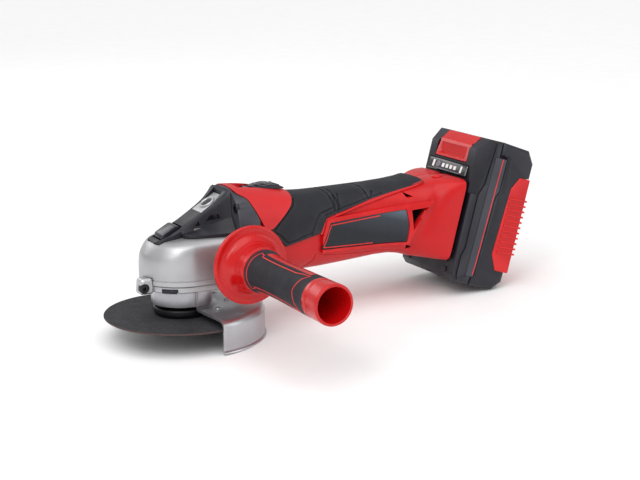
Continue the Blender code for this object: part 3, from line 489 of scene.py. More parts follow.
def finer(rows, steps):
    """Rows of numbers with a smooth curve drawn through each column."""
    made = []
    for k in range(len(rows) - 1):
        a, b, c, d = rows[max(k - 1, 0)], rows[k], rows[k + 1], rows[min(k + 2, len(rows) - 1)]
        for step in range(steps):
            t = step / steps
            made.append(tuple(
                q + 0.5 * t * (r - p + t * (2 * p - 5 * q + 4 * r - s + t * (3 * (q - r) + s - p)))
                for p, q, r, s in zip(a, b, c, d)))
    made.append(tuple(rows[-1]))
    return made


def bead(path, radius, sides=8, closed=False, flat=1):
    """A round bead along (point, outward normal) pairs; flat scales its height."""
    rings = []
    count = len(path)
    for k, (point, normal) in enumerate(path):
        if closed:
            ahead, behind = path[(k + 1) % count][0], path[k - 1][0]
        else:
            ahead, behind = path[min(k + 1, count - 1)][0], path[max(k - 1, 0)][0]
        tangent = (ahead - behind).normalized()
        across = tangent.cross(normal).normalized()
        up = across.cross(tangent)
        ring = []
        for side in range(sides):
            turn = 2 * pi * (side + 0.5) / sides
            ring.append(tuple(point + radius * (cos(turn) * across + flat * sin(turn) * up)))
        rings.append(ring)
    return loft(rings, closed=closed)


def power(value, exponent):
    return copysign(abs(value) ** exponent, value)


def span(side, near, far):
    """Two distances from the middle plane on one side, as coordinates in rising order."""
    return sorted((side * near, side * far))


def steps_between(low, high, count):
    return [low + (high - low) * k / count for k in range(count + 1)]


# ---------------------------------------------------------------- spindle, disc and guard

def wheel_pieces():
    thread = [(0, 0), (SPINDLE_R - 0.8, 0)]
    for k in range(5):
        z = 0.9 + 1.5 * k
        thread += [(SPINDLE_R, z), (SPINDLE_R, z + 0.4), (SPINDLE_R - 0.6, z + 0.9)]
    shaft = [
        (SPINDLE_R, END + 9.5), (7.7, END + 9.5), (7.7, END + 24.5), (6, END + 24.5),
        (6, MOTOR_Z - 6), (5, MOTOR_Z - 6), (5, MOTOR_Z - 1.2), (0, MOTOR_Z - 1.2),
    ]
    settle(refined("spindle", turned(thread + shaft, 48), "steel", "spindle"))

    flange = [
        (SPINDLE_R + GAP, END - 0.3), (10.9, END - 0.3), (10.9, END + 0.9), (20, END + 0.9),
        (21, END + 3), (21, END + 6.4), (20, END + 7.2), (11, END + 9.3),
        (SPINDLE_R + GAP, END + 9.3),
    ]
    settle(refined("inner_flange", turned(rounded(flange, 0.5), 64), "dark_steel", "spindle"))

    half = DISC_T / 2
    disc = [
        (11.2, END - half), (DISC_R - 0.3, END - half), (DISC_R, END - half + 0.3),
        (DISC_R, END + half - 0.3), (DISC_R - 0.3, END + half), (11.2, END + half),
    ]
    settle(refined("grinding_disc", turned(disc, 128), "abrasive", "spindle"))

    low = 1.2
    nut = [(SPINDLE_R + GAP, low), (17.5, low), (19.5, low + 1.5), (19.5, END - 0.9),
           (SPINDLE_R + GAP, END - 0.9)]
    made = refined("disc_nut", turned(rounded(nut, 0.5), 64), "dark_steel", "spindle")
    for k in range(4):
        angle = radians(45 + 90 * k)
        place = (14 * cos(angle), 14 * sin(angle), 0)
        carve(made, turned(rod(2.4, -2, 4.5), 24, centre=place))
    settle(made)


def guard():
    low, top, edge = GUARD_LOW, GUARD_TOP, GUARD_R
    inside, lip = edge - GUARD_T, edge + 1.5
    profile = [
        (BAND_R - 1, top + 2.2), (BAND_R - 1, top - 0.2), (24.5, top - GUARD_T),
        (edge - 5.5, top - GUARD_T), (edge - 3, top - GUARD_T - 0.8), (inside, top - 4.6),
        (inside, low + 1.2), (edge - 2.3, low + 0.3), (edge - 1.5, low), (lip - 0.8, low),
        (lip, low + 0.7), (lip - 0.3, low + 1.6), (edge, low + 2.4), (edge, top - 4.6),
        (edge - 0.8, top - 2.2), (edge - 2.4, top - 0.7), (edge - 5, top), (48, top),
        (46, top + 0.9), (29, top + 0.9), (27, top), (25, top),
    ]
    shape = turned(profile, 96, start=-GUARD_HALF_ANGLE, sweep=2 * GUARD_HALF_ANGLE)
    made = refined("guard", shape, "guard_steel", "guard")
    unite(made, turned(rounded(tube(NECK_R + GAP, BAND_R, top + 2, END + 21.6), 0.3), 96))
    rivet = [(0, top - 0.4), (2.6, top - 0.4), (2.2, top + 1.5), (1.2, top + 1.9), (0, top + 2)]
    for angle in (-62, -20, 20, 62):
        turn = radians(angle)
        centre = (33.5 * cos(turn), 33.5 * sin(turn), 0)
        unite(made, turned(rivet, 24, centre=centre))
    for angle, deep in ((-86.5, 1.4), (-82.5, 0.5), (-90.5, 0.5)):
        seam = block((BAND_R - deep, -0.35, top + 2.6), (BAND_R + 2, 0.35, END + 30))
        carve(made, seam, Matrix.Rotation(radians(angle), 4, "Z"))
    settle(made)
    shape = turned(rounded(tube(24, 30.8, END + 22.4, END + 25), 0.5), 16, start=219.5, sweep=21)
    settle(refined("guard_lever", shape, "charcoal", "guard_lever", edge=0.4))


# ---------------------------------------------------------------- gear head

def head_plan(front, half, level, back=CASE_BACK, back_half=None, dip=0):
    """Plan outline of the head at one level: an elliptic nose, then sides to the back."""
    rear = half if back_half is None else back_half
    ring = [(back, -rear, level), (back / 2, -(half + rear) / 2, level)]
    for k in range(NOSE_ARC + 1):
        angle = radians(-90 - 180 * k / NOSE_ARC)
        x = -front * cos(angle)
        ring.append((x, half * sin(angle), level + dip * x))
    return ring + [(back / 2, (half + rear) / 2, level), (back, rear, level)]


def boss_outline(low, grow=0, rise=0.4):
    front, rear = BOSS_SPAN[0] - grow, BOSS_SPAN[1] + grow
    slope = tan(radians(BOSS_SLOPE))
    tops = [BOSS_PLACE[2] + rise + (x - BOSS_PLACE[0]) * slope for x in (rear, front)]
    return [(front, low), (rear, low), (rear, tops[0]), (front, tops[1])]


def gear_case():
    lip = [(27, -30.6, 29.6, 29.6, 0), (27.5, -31, 30, 30, 0),
           (30.6, -31, 30, 30, 0), (30.9, -30.5, 29.5, 29.5, 0),
           (31.4, -30.5, 29.5, 29.5, 0), (31.7, -31, 30, 30, 0)]
    dome = [
        (32, -31, 30, 30, 0), (40, -31, 30, 30.2, 0),
        (46.5, -30.2, 29.9, 30.2, 0), (51.5, -27.9, 29.4, 30, 0.02),
        (55.8, -25.2, 27.8, 29.6, 0.05), (58.2, -23, 24.6, 28.6, 0.09),
        (59.4, -21.2, 21.6, 27.2, 0.115), (59.8, -19.6, 19.5, 25.6, 0.12),
    ]
    shell = [head_plan(front, half, END + z, back_half=rear, dip=dip)
             for z, front, half, rear, dip in lip + finer(dome, 5)]
    case = refined("gear_case", loft(shell), "silver", "tool")
    slope = tilted(BOSS_PLACE, BOSS_SLOPE)
    unite(case, block((5.5, -12.5, END + 50), (CASE_BACK, 12.5, HUMP_TOP)))
    unite(case, slab(boss_outline(END + 60), -BOSS_HALF, BOSS_HALF, 0.5, 0.4))
    collar = [(0, -3), (6.2, -3), (6.2, 0.9), (5.8, 1.3), (0, 1.3)]
    unite(case, turned(collar, 40), slope)
    carve(case, turned(rod(22.3, END + 20, END + 49.4), 48))
    carve(case, block((5, -16.5, END + 20), (38, 16.5, END + 49.4)))
    carve(case, block((8, -9, END + 45), (38.5, 9, HUMP_TOP - 3.2)))
    bore = [(0, -12), (4.2, -12), (4.2, 0.7), (4.9, 1.4), (4.9, 6), (0, 6)]
    carve(case, turned(bore, 32), slope)
    barrel = [(0, 24), (11.5, 24), (11, 30), (9.7, BOSS_END - 0.6), (9.1, BOSS_END),
              (0, BOSS_END)]
    for side in (1, -1):
        unite(case, turned([(r, side * y) for r, y in barrel], 48, "Y", HANDLE_CENTRE))
        carve(case, turned(rod(4.3, *span(side, 20, 50)), 32, "Y", HANDLE_CENTRE))
    carve(case, turned(rod(11.3, 36, 50), 32, "X", (0, 0, MOTOR_Z)))
    unite(case, turned(rod(8.1, MOTOR_Z - 5.9, END + 50), 32))
    carve(case, turned(rod(7.2, MOTOR_Z - 8, MOTOR_Z - 0.6), 32))
    carve(case, block((-22.9, -11.1, END + 55.8), (-3.4, 11.1, END + 70)))
    carve(case, block((-18.6, -8.4, LOCK_FLOOR), (-0.2, 8.4, END + 70)))
    carve(case, turned(rod(2.1, END + 45, END + 60), 20, centre=(LOCK_X, 0, 0)))
    for x, y in CAP_SCREWS:
        carve(case, turned(rod(2, END + 20, END + 36.5), 16, centre=(x, y, 0)))
    carve(case, block((-38.9, -13.3, END + 20.7), (-26.7, -2.2, END + 32.9)))
    settle(case, 30)


def bearing_cap():
    plate = [head_plan(-29.9 + s, 28.7 - s, END + z, back=43)
             for z, s in ((22.2, 0.6), (22.8, 0), (26.3, 0), (26.7, 0.3))]
    cap = refined("bearing_cap", loft(plate), "silver", "tool")
    unite(cap, turned(rounded(rod(NECK_R, END + 10.6, END + 24), 0.5), 72))
    lug = [(-37.6, END + 21), (-27, END + 21), (-27, END + 32.6), (-36.6, END + 32.6)]
    unite(cap, slab(lug, -13, -2.5, 1.4, 2.6, 5))
    carve(cap, turned(rod(16.3, END + 12.5, END + 30), 48))
    carve(cap, turned(rod(9, END + 5, END + 14), 40))
    carve(cap, turned(tube(21.2, 33, END + 20, END + 25.4), 12, start=217.9, sweep=24.2))
    for x, y in CAP_SCREWS:
        carve(cap, turned(rod(3.3, END + 20, END + 24.4), 24, centre=(x, y, 0)))
        carve(cap, turned(rod(2.3, END + 23, END + 28), 16, centre=(x, y, 0)))
    carve(cap, turned(rod(3.7, 8, 20), 32, "Y", (-34.2, 0, END + 25.6)))
    settle(cap)


def screw(node, head_r, head_t, shank_r, shank_l, axis, centre, turn=1):
    """A cap screw with a six-sided socket: the head starts at centre."""
    profile = [
        (0, 0), (head_r - 0.5, 0), (head_r - 0.15, 0.15 * turn), (head_r, 0.5 * turn),
        (head_r, head_t * turn), (shank_r, head_t * turn), (shank_r, (head_t + shank_l) * turn),
        (0, (head_t + shank_l) * turn),
    ]
    made = refined(node, turned(profile, 40, axis, centre), "dark_steel", "tool")
    carve(made, turned(rod(0.52 * head_r, *span(turn, -1, 0.65 * head_t)), 6, axis, centre))
    settle(made)


def screws():
    for k, (x, y) in enumerate(CAP_SCREWS):
        screw(f"cap_screw_{k + 1}", 3, 1.9, 1.7, 10, "Z", (x, y, END + 22.3))
    for side, name in ((-1, "flange_screw_right"), (1, "flange_screw_left")):
        at = (33.2, side * FLANGE_SCREW[0], END + FLANGE_SCREW[1])
        screw(name, 3.3, 2.1, 1.7, 10, "X", at)
    screw("lug_screw", 3.3, 3, 1.2, 1, "Y", (-34.3, -12.4, END + 25.6), -1)


def cover_section(x, ridge, foot, top, low):
    """One cross-section of the head cover: a narrow flat ridge on a flared skirt."""
    rise = top - low
    side = [
        (foot - 0.4, low), (foot, low + 0.4), (foot, low + min(2, 0.3 * rise)),
        (min(ridge + 2.4, foot - 0.15), low + 0.38 * rise),
        (min(ridge + 1.7, foot - 0.25), low + 0.5 * rise),
        (min(ridge + 0.9, foot - 0.4), low + 0.8 * rise), (ridge + 0.1, top - 0.8),
        (ridge - 0.3, top - 0.25), (ridge - 1.1, top), (ridge - 2.2, top),
    ]
    right = [(x, -y, END + z) for y, z in side]
    return right + [(x, y, END + z) for y, z in reversed(side)]


def head_cover():
    tongue, skirt = 56.1, 60.2
    front = [
        (-22.6, 5.6, 8, 56.6, tongue), (-22, 7.2, 9.2, 57.4, tongue),
        (-20.2, 8.8, 10.4, 58.4, tongue), (-12, 9.3, 10.8, 61.8, tongue),
        (-4, 9.4, 10.8, 66.1, tongue), (-3.9, 9.4, 10.8, 66.2, skirt),
        (-3.2, 9.4, 15, 66.6, skirt),
    ]
    back = [
        (-1, 9.5, 18.6, 67.7, skirt), (3, 9.7, 20.4, 69.8, skirt),
        (14, 10.2, 22.6, 76.5, skirt), (22, 11.2, 24, 81.8, skirt),
        (27.5, 12.6, 24.8, 86.6, skirt), (30.8, 14, 25.2, 90, skirt),
        (33.2, 15.4, 25.4, 91, skirt),
    ]
    rings = [cover_section(*station) for station in front + finer(back, 5)]
    cover = refined("head_cover", loft(rings), "charcoal", "tool")
    slope = tilted(LOCK_PLACE, LOCK_SLOPE)
    well = [(-18.2, 50), (-18.2, 57), (-22.7, 64.8), (-5.8, 73.7), (-0.4, 64.8), (-0.4, 50)]
    carve(cover, slab(side_view(well), -8, 8, 0, 0.8))
    hollow = [cover_section(x, ridge - 2.4, foot - 2.4, top - 2.6, low - 9)
              for x, ridge, foot, top, low in back[1:-1]]
    carve(cover, loft(hollow))
    carve(cover, block((5, -13, END + 45), (35, 13, HUMP_TOP + 0.4)))
    carve(cover, slab(boss_outline(END + 50, GAP, 20), -BOSS_HALF - GAP, BOSS_HALF + GAP))
    outlets = [
        [(15.4, 70.2), (18.6, 73.9), (24.4, 74.8), (26.2, 71.4)],
        [(6.6, 67.2), (9.8, 70.2), (10.6, 67)],
    ]
    for side in (-1, 1):
        for outlet in outlets:
            carve(cover, slab(side_view(outlet), *span(side, 10, 26), 0, 0.6))
    settle(cover, 30)

    outline = [(-8.6, -0.6), (-4, -2.4), (8.2, -2.4), (8.2, 2.2), (5.8, 4), (-6, 4),
               (-8.6, 1.6)]
    button = piece("lock_button_fine", slab(outline, -7.4, 7.4, 0, 1, 4), "charcoal_gloss",
                   "spindle_lock", ["spindle_lock_button"], slope, edge=1.1, steps=4, angle=28)
    axis = (LOCK_X, 0, 0)
    carve(button, turned(tube(2.8, 4.1, END + 50, END + 62), 32, centre=axis))
    unite(button, turned(rod(2.5, END + 56.2, END + 60), 32, centre=axis))
    settle(button)


# ---------------------------------------------------------------- body skin

# Stations along the body: top x, z, bottom x, z, half width, squareness of the section.
BODY = [
    (50.6, 84.6, 50.6, 24.5, 30.6, 2.6), (66, 84.4, 66, 23.5, 30.6, 2.6),
    (84, 83.5, 84, 22, 29.6, 2.6), (104, 82.5, 104, 21.5, 27.6, 2.6),
    (132, 82.8, 132, 23, 27.2, 2.6), (160, 83.2, 158, 25, 27.8, 2.6),
    (186, 82.3, 174, 27, 29.4, 2.8), (202, 83.6, 188, 24, 32.6, 3.4),
    (216, 84.8, 201, 22.2, 35.2, 5.8), (229, 84.1, 212.6, 20.7, 36, 12),
]
FLARE_START = 5
LAST = len(BODY) - 1
FINE = 16
ARC = 44
REACH = 45
ROWS = finer(BODY, FINE)
SEAM = GAP / 2


def body_row(s):
    """Station numbers at position s along the body, 0 at the motor and LAST at the battery."""
    at = min(max(s, 0), LAST) * FINE
    k = min(int(at), len(ROWS) - 2)
    return [p + (q - p) * (at - k) for p, q in zip(ROWS[k], ROWS[k + 1])]


def body_frame(s, lift):
    tx, tz, lx, lz, half, square = body_row(s)
    shrink = SKIN * (1 - min(max(s - FLARE_START, 0), 1)) - lift
    rise = hypot(tx - lx, tz - lz)
    along = ((tx - lx) / rise, (tz - lz) / rise)
    return (tx + lx) / 2, (tz + lz) / 2, along, rise / 2 - shrink, half - shrink, square


def body_point(s, a, lift=0, seam=0):
    """A point of the skin at angle a from the top, positive towards the side handle's side."""
    mx, mz, (ux, uz), tall, wide, square = body_frame(s, lift)
    angle = radians(a)
    side = copysign(1, a)
    y = -side * seam - (wide - seam) * power(sin(angle), 2 / square)
    v = tall * power(cos(angle), 2 / square)
    return Vector((mx + ux * v, y, END + mz + uz * v))


def locate(x, z, lift=SKIN):
    """The (s, a) of the near skin point seen at x and height z in side view."""
    low, high = 0, float(LAST)
    for _ in range(40):
        s = (low + high) / 2
        mx, mz, (ux, uz), _, _, _ = body_frame(s, lift)
        if (x - mx) * uz - (z - mz) * ux > 0:
            low = s
        else:
            high = s
    mx, mz, (ux, uz), tall, _, square = body_frame(s, lift)
    v = max(-1, min(1, ((x - mx) * ux + (z - mz) * uz) / tall))
    return s, degrees(acos(power(v, square / 2)))


def skin_normal(s, a, lift):
    here = body_point(s, a, lift)
    along = body_point(min(s + 0.02, LAST), a, lift) - body_point(s - 0.02, a, lift)
    around = body_point(s, a + 1, lift) - body_point(s, a - 1, lift)
    normal = along.cross(around).normalized()
    middle = Vector((here.x, 0, END + body_frame(s, 0)[1]))
    return normal if normal.dot(here - middle) > 0 else -normal


def skin_path(points, lift=SKIN, steps=6, side=1, bent=False):
    """(point, normal) pairs on the skin through side-view points; bent keeps corners sharp."""
    spots = [locate(x, z, lift) for x, z in points]
    if bent:
        fine = []
        for (s0, a0), (s1, a1) in zip(spots, spots[1:]):
            fine += [(s0 + (s1 - s0) * k / steps, a0 + (a1 - a0) * k / steps) for k in range(steps)]
        fine.append(spots[-1])
    else:
        fine = finer(spots, steps)
    return [(body_point(s, side * a, lift), skin_normal(s, side * a, lift)) for s, a in fine]


def over_top(points):
    """A path down one side, over the top to the far side's lowest point, and up that side."""
    spots = [locate(x, z) for x, z in points]
    whole = [(s, a) for s, a in reversed(spots)] + [(s, -a) for s, a in spots]
    return [(body_point(s, a, SKIN), skin_normal(s, a, SKIN)) for s, a in finer(whole, 5)]


def half_ring(s, side, outer, inner, arc=ARC):
    """Half a section of a shell between two lifts, from the top line to the bottom line."""
    angles = [side * 180 * k / arc for k in range(arc + 1)]
    angles[0], angles[-1] = side * 1e-4, side * (180 - 1e-4)
    out = [tuple(body_point(s, a, outer, SEAM)) for a in angles]
    return out + [tuple(body_point(s, a, inner, SEAM)) for a in reversed(angles)]


def crease(points, line, width, depth):
    """Presses skin points inwards along a side-view line of (x, z) points."""
    moved = []
    for x, y, z in points:
        near = 1e9
        for (x0, z0), (x1, z1) in zip(line, line[1:]):
            dx, dz = x1 - x0, z1 - z0
            t = min(max(((x - x0) * dx + (z - END - z0) * dz) / (dx * dx + dz * dz), 0), 1)
            near = min(near, hypot(x - x0 - t * dx, z - END - z0 - t * dz))
        press = depth * exp(-((near / width) ** 2))
        moved.append((x, y - copysign(min(press, abs(y) * 0.2), y), z))
    return moved


FOOT_LINE = [(207, 84.5), (205.8, 79), (202.8, 70.2), (198.2, 59.9), (189.6, 46), (183, 36)]
LABEL = [(102.4, 41.2), (110.5, 61.4), (176.2, 65.6), (178.4, 53.4), (176.8, 39.6)]
BORDER = [(99.8, 38.6), (108.4, 64.4), (176, 69.2), (199.4, 70.8), (190, 61), (179.4, 41),
          (178.6, 37.4)]
VENTS = [
    [(177.8, 77.4), (185.6, 73.7), (179.8, 72.9)], [(180.4, 64.6), (194.2, 66), (181.6, 48.6)],
    [(179, 36.6), (184.2, 34), (179.2, 32.6)],
]
RUBBER_EDGE = [
    (83.6, 84), (82.6, 82), (79.6, 78), (57.6, 60.4), (72, 48), (84, 50.5),
    (103.5, 54.2), (109, 64.6), (125.4, 68.7), (147.2, 73.9), (177, 79.4), (193, 82.1),
    (199, 83.5),
]


def housing(name, side):
    rings = [half_ring(s, side, 0, -WALL)
             for s in steps_between(0, 5, 30) + steps_between(5, LAST, 56)[1:]]
    outside = ARC + 1
    rings = [crease(ring[:outside], FOOT_LINE, 4.2, 1.7) + ring[outside:] for ring in rings]
    shell = refined(name, loft(rings), "red", "tool", edge=0.9, steps=3, angle=60)
    wall = [half_ring(s, side, 2.9, -1, 40) for s in steps_between(3, 7.2, 44)]
    band = piece("border", loft(wall), "red", "tool")
    keep(band, slab(side_view(BORDER), -REACH, REACH, 0, 2))
    carve(band, slab(side_view(LABEL), -REACH, REACH, 0, 0.8))
    unite(shell, taken(band))
    ridge = skin_path([(x, z - 0.9) for x, z in RUBBER_EDGE[6:]], 0.6, 6, side, True)
    unite(shell, bead(ridge, 1.5, 8))
    carve(shell, block((194.6, -31.4, 78.6), (206, 31.4, 134.4)), BATTERY_FRAME)
    carve(shell, block((49, -5.8, END + 72), (158, 5.8, END + 90)))
    for vent in VENTS:
        carve(shell, slab(side_view(vent), *span(-side, 10, 50), 0, 0.7))
    parting = skin_path([(99.6, 38.4), (98, 33), (93.6, 28.5), (86, 24.2)], 0, 6, side)
    carve(shell, bead(parting, 0.6, 6))
    fold = skin_path([(102.5, 37.4), (140, 33.8), (178, 31)], 0, 8, side)
    carve(shell, bead(fold, 0.5, 6))
    if side > 0:
        normal = skin_normal(7.95, 3, 0)
        stand = Matrix.Translation(body_point(7.95, 3, 0))
        boss = [
            (0, -2), (4.4, -2), (4.4, 0.5), (4, 1), (3.5, 1.1), (3.2, 0.6), (2.8, 0.6),
            (2.3, 1.2), (0, 1.4),
        ]
        unite(shell, turned(boss, 32), stand @ normal.to_track_quat("Z", "Y").to_matrix().to_4x4())
    settle(shell, 32)


def label(name, side):
    rings = [half_ring(s, side, 2.3, 0.8, 40) for s in steps_between(3, 6.4, 36)]
    panel = refined(name, loft(rings), "label", "tool")
    keep(panel, slab(inset(side_view(LABEL), GAP), -REACH, REACH, 0, 0.7))
    settle(panel)
    corner = (104.6, 43)
    upper = skin_path([corner, (111.6, 59.4), (154, 62.4)], 2.32, 10, side, True)
    lower = skin_path([corner, (148, 41.8)], 2.32, 12, side, True)
    for k, path in enumerate((upper, lower)):
        settle(piece(f"{name}_stripe_{k + 1}", bead(path, 0.42, 6, flat=0.5), "line", "tool"))


# Grooves in one side of the grip: (side-view points, steps between them, radius, sides).
GROOVES = [
    ([(84.6, 80.8), (81.4, 76.6), (61.6, 60.6), (73.2, 50.9), (84, 53.2), (94.5, 55.6)], 8, 0.75, 8),
    ([(107.6, 67.2), (125, 71.6), (147, 76), (160, 78.2)], 8, 0.55, 6),
    ([(115.8, 72.1), (103.4, 69.1), (99.5, 64.8), (96.4, 59.2), (94.5, 54)], 6, 0.75, 8),
    ([(119.8, 71.7), (117, 66.2)], 6, 0.75, 8),
]
CROSSINGS = [
    [(115.8, 72.1), (117.7, 75.8), (119.2, 80.2)], [(119.8, 71.7), (121.2, 76.4), (123.4, 80.4)],
    [(147, 73.6), (150, 77.2), (153, 80.2)],
]


def grip():
    places = steps_between(0, 5, 40) + steps_between(5, 7.25, 20)[1:]
    turns = [360 * k / 48 - 180 + 1e-4 for k in range(48)]
    outer = [[tuple(body_point(s, a, SKIN)) for a in turns] for s in places]
    inner = [[tuple(body_point(s, a, GAP)) for a in turns] for s in reversed(places)]
    made = refined("grip_overmould", loft(outer + inner, closed=True), "rubber", "tool")
    outline = side_view([(84.6, 110)] + RUBBER_EDGE + [(200.5, 110)])
    keep(made, slab(outline, -REACH, REACH))
    for side in (1, -1):
        border = skin_path(RUBBER_EDGE[1:], SKIN + 0.2, 8, side, True)
        carve(made, bead(border, 0.9, 8, flat=1.3))
        for line, steps, radius, sides in GROOVES:
            carve(made, bead(skin_path(line, SKIN, steps, side, True), radius, sides))
    for line in CROSSINGS:
        carve(made, bead(over_top(line), 0.8, 8))
    settle(made, 40)


def section(top, low, half, shrink=0):
    """A rounded cross-section between a top and a bottom point in the XZ plane."""
    rise = hypot(top[0] - low[0], top[1] - low[1])
    ux, uz = (top[0] - low[0]) / rise, (top[1] - low[1]) / rise
    mx, mz = (top[0] + low[0]) / 2, (top[1] + low[1]) / 2
    tall, wide = rise / 2 - shrink, half - shrink
    ring = []
    for k in range(2 * SECTION_ARC):
        angle = radians(90 - 180 * k / SECTION_ARC)
        y = wide * power(cos(angle), 2 / SQUARENESS)
        v = tall * power(sin(angle), 2 / SQUARENESS)
        ring.append((mx + ux * v, y, END + mz + uz * v))
    return ring


def bonnet():
    stations = [(34.2, 93, 31.4), (43, 92.6, 31.4), (54, 91.4, 31.4), (66, 89.4, 31.2),
                (76, 87.6, 30.8), (88, 85, 30.2)]
    rows = finer(stations, 5)
    outer = [section((x, z), (x, 24), half) for x, z, half in rows]
    inner = [section((x, z), (x, 24), half, 2.2) for x, z, half in reversed(rows)]
    hood = refined("bonnet", loft(outer + inner, closed=True), "red_matte", "tool")
    pan = [(41.8, 86), (41.8, 90.4), (54, 89.6), (76, 86.2), (84, 84.8), (84, 83.8),
           (52, 84.9), (51, 86)]
    unite(hood, slab(side_view(pan), -10.8, 10.8))
    outline = [(33, 110), (36.5, 90), (43.6, 86), (55, 62.5), (60, 62.5), (78.6, 78.2),
               (83, 84), (84, 110)]
    keep(hood, slab(side_view(outline), -REACH, REACH, 0, 2.4, 5))
    carve(hood, block((42.2, -9.2, END + 87), (95, 9.2, END + 99)))
    carve(hood, block((54.8, -3.6, END + 80), (72.2, 3.6, END + 95)))
    settle(hood, 30)


def motor_flange():
    plate = [section((x, top), (x, 24.2), half)
             for x, top, half in ((CASE_BACK + GAP, 85.4, 29), (50.3, 84.6, 28.6))]
    wedge = [section((x, 92.2), (x, 24.2), half)
             for x, half in ((33.8, 30.6), (34.4, 31.2), (50.2, 31.2))]
    upper = piece("upper", loft(wedge), "slate", "tool")
    carve(upper, block((20, -50, 0), (60, 50, END + 60.4)))
    room = [(35.9, 112), (35.9, 90), (43.1, 85.7), (54.4, 62.2), (54.4, 40), (80, 40),
            (80, 112)]
    carve(upper, slab(side_view(room), -REACH, REACH))
    wings = taken(upper)
    flange = refined("motor_flange", loft(plate), "slate", "tool")
    unite(flange, wings)
    carve(flange, block((36.5, -19, END + 66.4), (60, 19, END + 82)))
    carve(flange, block((20, -12.9, END + 50), (CASE_BACK + 0.5, 12.9, HUMP_TOP + 0.4)))
    carve(flange, turned(rod(9, 30, 60), 40, "X", (0, 0, MOTOR_Z)))
    for side in (-1, 1):
        centre = (0, side * FLANGE_SCREW[0], END + FLANGE_SCREW[1])
        carve(flange, turned(rod(3.6, 30, 35.6), 32, "X", centre))
        carve(flange, turned(rod(2, 30, 46.6), 20, "X", centre))
    settle(flange)


def slide_switch():
    """Thumb slide: a low dome crossed by slanting finger ridges."""
    outline = side_view([
        (52.4, 87.6), (53, 90), (57, 89.3), (62, 90.2), (70, 91.3), (76, 90.5),
        (81.2, 88.5), (81, 87.6),
    ])
    cap = refined("slide_switch", slab(outline, -8.5, 8.5, 0, 1.6, 4), "charcoal_gloss", "switch",
                  edge=0.5, steps=3)
    up = Vector((0, 0, 1))
    for k in range(5):
        x = 57 + 4.6 * k
        crest = 89.4 + 1.7 * sin(pi * (x - 52) / 31)
        row = []
        for j in range(9):
            y = -7.6 + 1.9 * j
            sag = 0.5 * (y / 7.6) ** 2
            row.append((Vector((x + 0.25 * abs(y), y, END + crest - 0.35 - sag)), up))
        unite(cap, bead(row, 0.95, 10))
    unite(cap, block((62.5, -3.2, END + 78.3), (71.5, 3.2, END + 89)))
    settle(cap, 40)


# ---------------------------------------------------------------- battery

SEAM_LINE = [
    (222.8, 59), (225.5, 75), (227.7, 132), (230.2, 136.4), (230.6, 163.5), (224.5, 164.5),
    (224.5, 175.3),
]
STEP = [
    (196, 56), (211.5, 56), (208.6, 66), (208.6, 82), (210.8, 88), (210.8, 131.3),
    (214.6, 140), (217.6, 175), (217.6, 180), (196, 180),
]
WING = [(237.4, 87.1), (243.8, 74.6), (256, 74), (256, 150.6), (246.4, 150.6), (240.5, 141.1)]


def battery_shells():
    half = BATTERY_HALF
    front_view = [(HEAD_FRONT, 165), (HEAD_FRONT, 141.4), (BATTERY_FRONT, 138),
                  (BATTERY_FRONT, 65), (209, 60.5)]
    front_view += [(n - 0.2, u) for n, u in SEAM_LINE] + [(212.6, 175.3)]
    front = piece("battery_front_fine", slab(front_view, -half, half, 2.4), "charcoal", "battery",
                  ["battery_front_shell"], BATTERY_FRAME, edge=0.45, angle=25)
    rooms = [
        (208, 33.2, 66, 218, 162.7), (216, 33.2, 76, 222, 162.7),
        (221, 33.2, 78, 240, 162.7), (190, 22, 153, 208.5, 167),
        (190, 22, 166, 219.6, 180), (190, 27.4, 141.4, 206, 151.6),
    ]
    for near, wide, low, far, high in rooms:
        carve(front, block((near, -wide, low), (far, wide, high)), BATTERY_FRAME)
    for side in (-1, 1):
        rings = []
        for u, near, far in ((131, 31, 213.6), (182, 31, 224)):
            facet = [(190, near), (HEAD_FRONT, near), (far, 41), (far, 60), (190, 60)]
            rings.append([(n, side * y, u) for n, y in facet])
        carve(front, loft(rings), BATTERY_FRAME)
        carve(front, slab(STEP, *span(side, 37.2, REACH)), BATTERY_FRAME)
        strip = [(216.6, 66), (240, 66), (240, 163), (218.4, 163)]
        carve(front, slab(strip, *span(side, 37.6, REACH), 0, 1.2), BATTERY_FRAME)
        for u in (68, 76, 84):
            foot = turned(rounded(rod(2.2, -1, 1.1), 0.5), 20)
            stand = BATTERY_FRAME @ Matrix.Translation((BATTERY_FRONT, side * 26, u))
            unite(front, foot, stand @ Matrix.Rotation(radians(-90), 4, "Y"))
    settle(front, 30)

    rear_view = [(n + 0.2, u) for n, u in reversed(SEAM_LINE)]
    rear_view += [(246, 58.7), (254.4, 66), (257.4, 150), (257.6, 163.4), (250.8, 173)]
    rear = piece("battery_rear_fine", slab(rear_view, -half, half, 2.4), "charcoal", "battery",
                 ["battery_rear_shell"], BATTERY_FRAME, edge=0.45, angle=25)
    carve(rear, block((220, -33.2, 66), (250, 33.2, 162.7)), BATTERY_FRAME)
    carve(rear, block((253.6, -50, 73.7), (270, 50, 151)), BATTERY_FRAME)
    open_wing = WING[:2] + [(270, u) for _, u in WING[2:4]] + WING[4:]
    for side in (-1, 1):
        carve(rear, slab(inset(open_wing, -GAP), *span(side, 36.6, 60)), BATTERY_FRAME)
    settle(rear, 30)


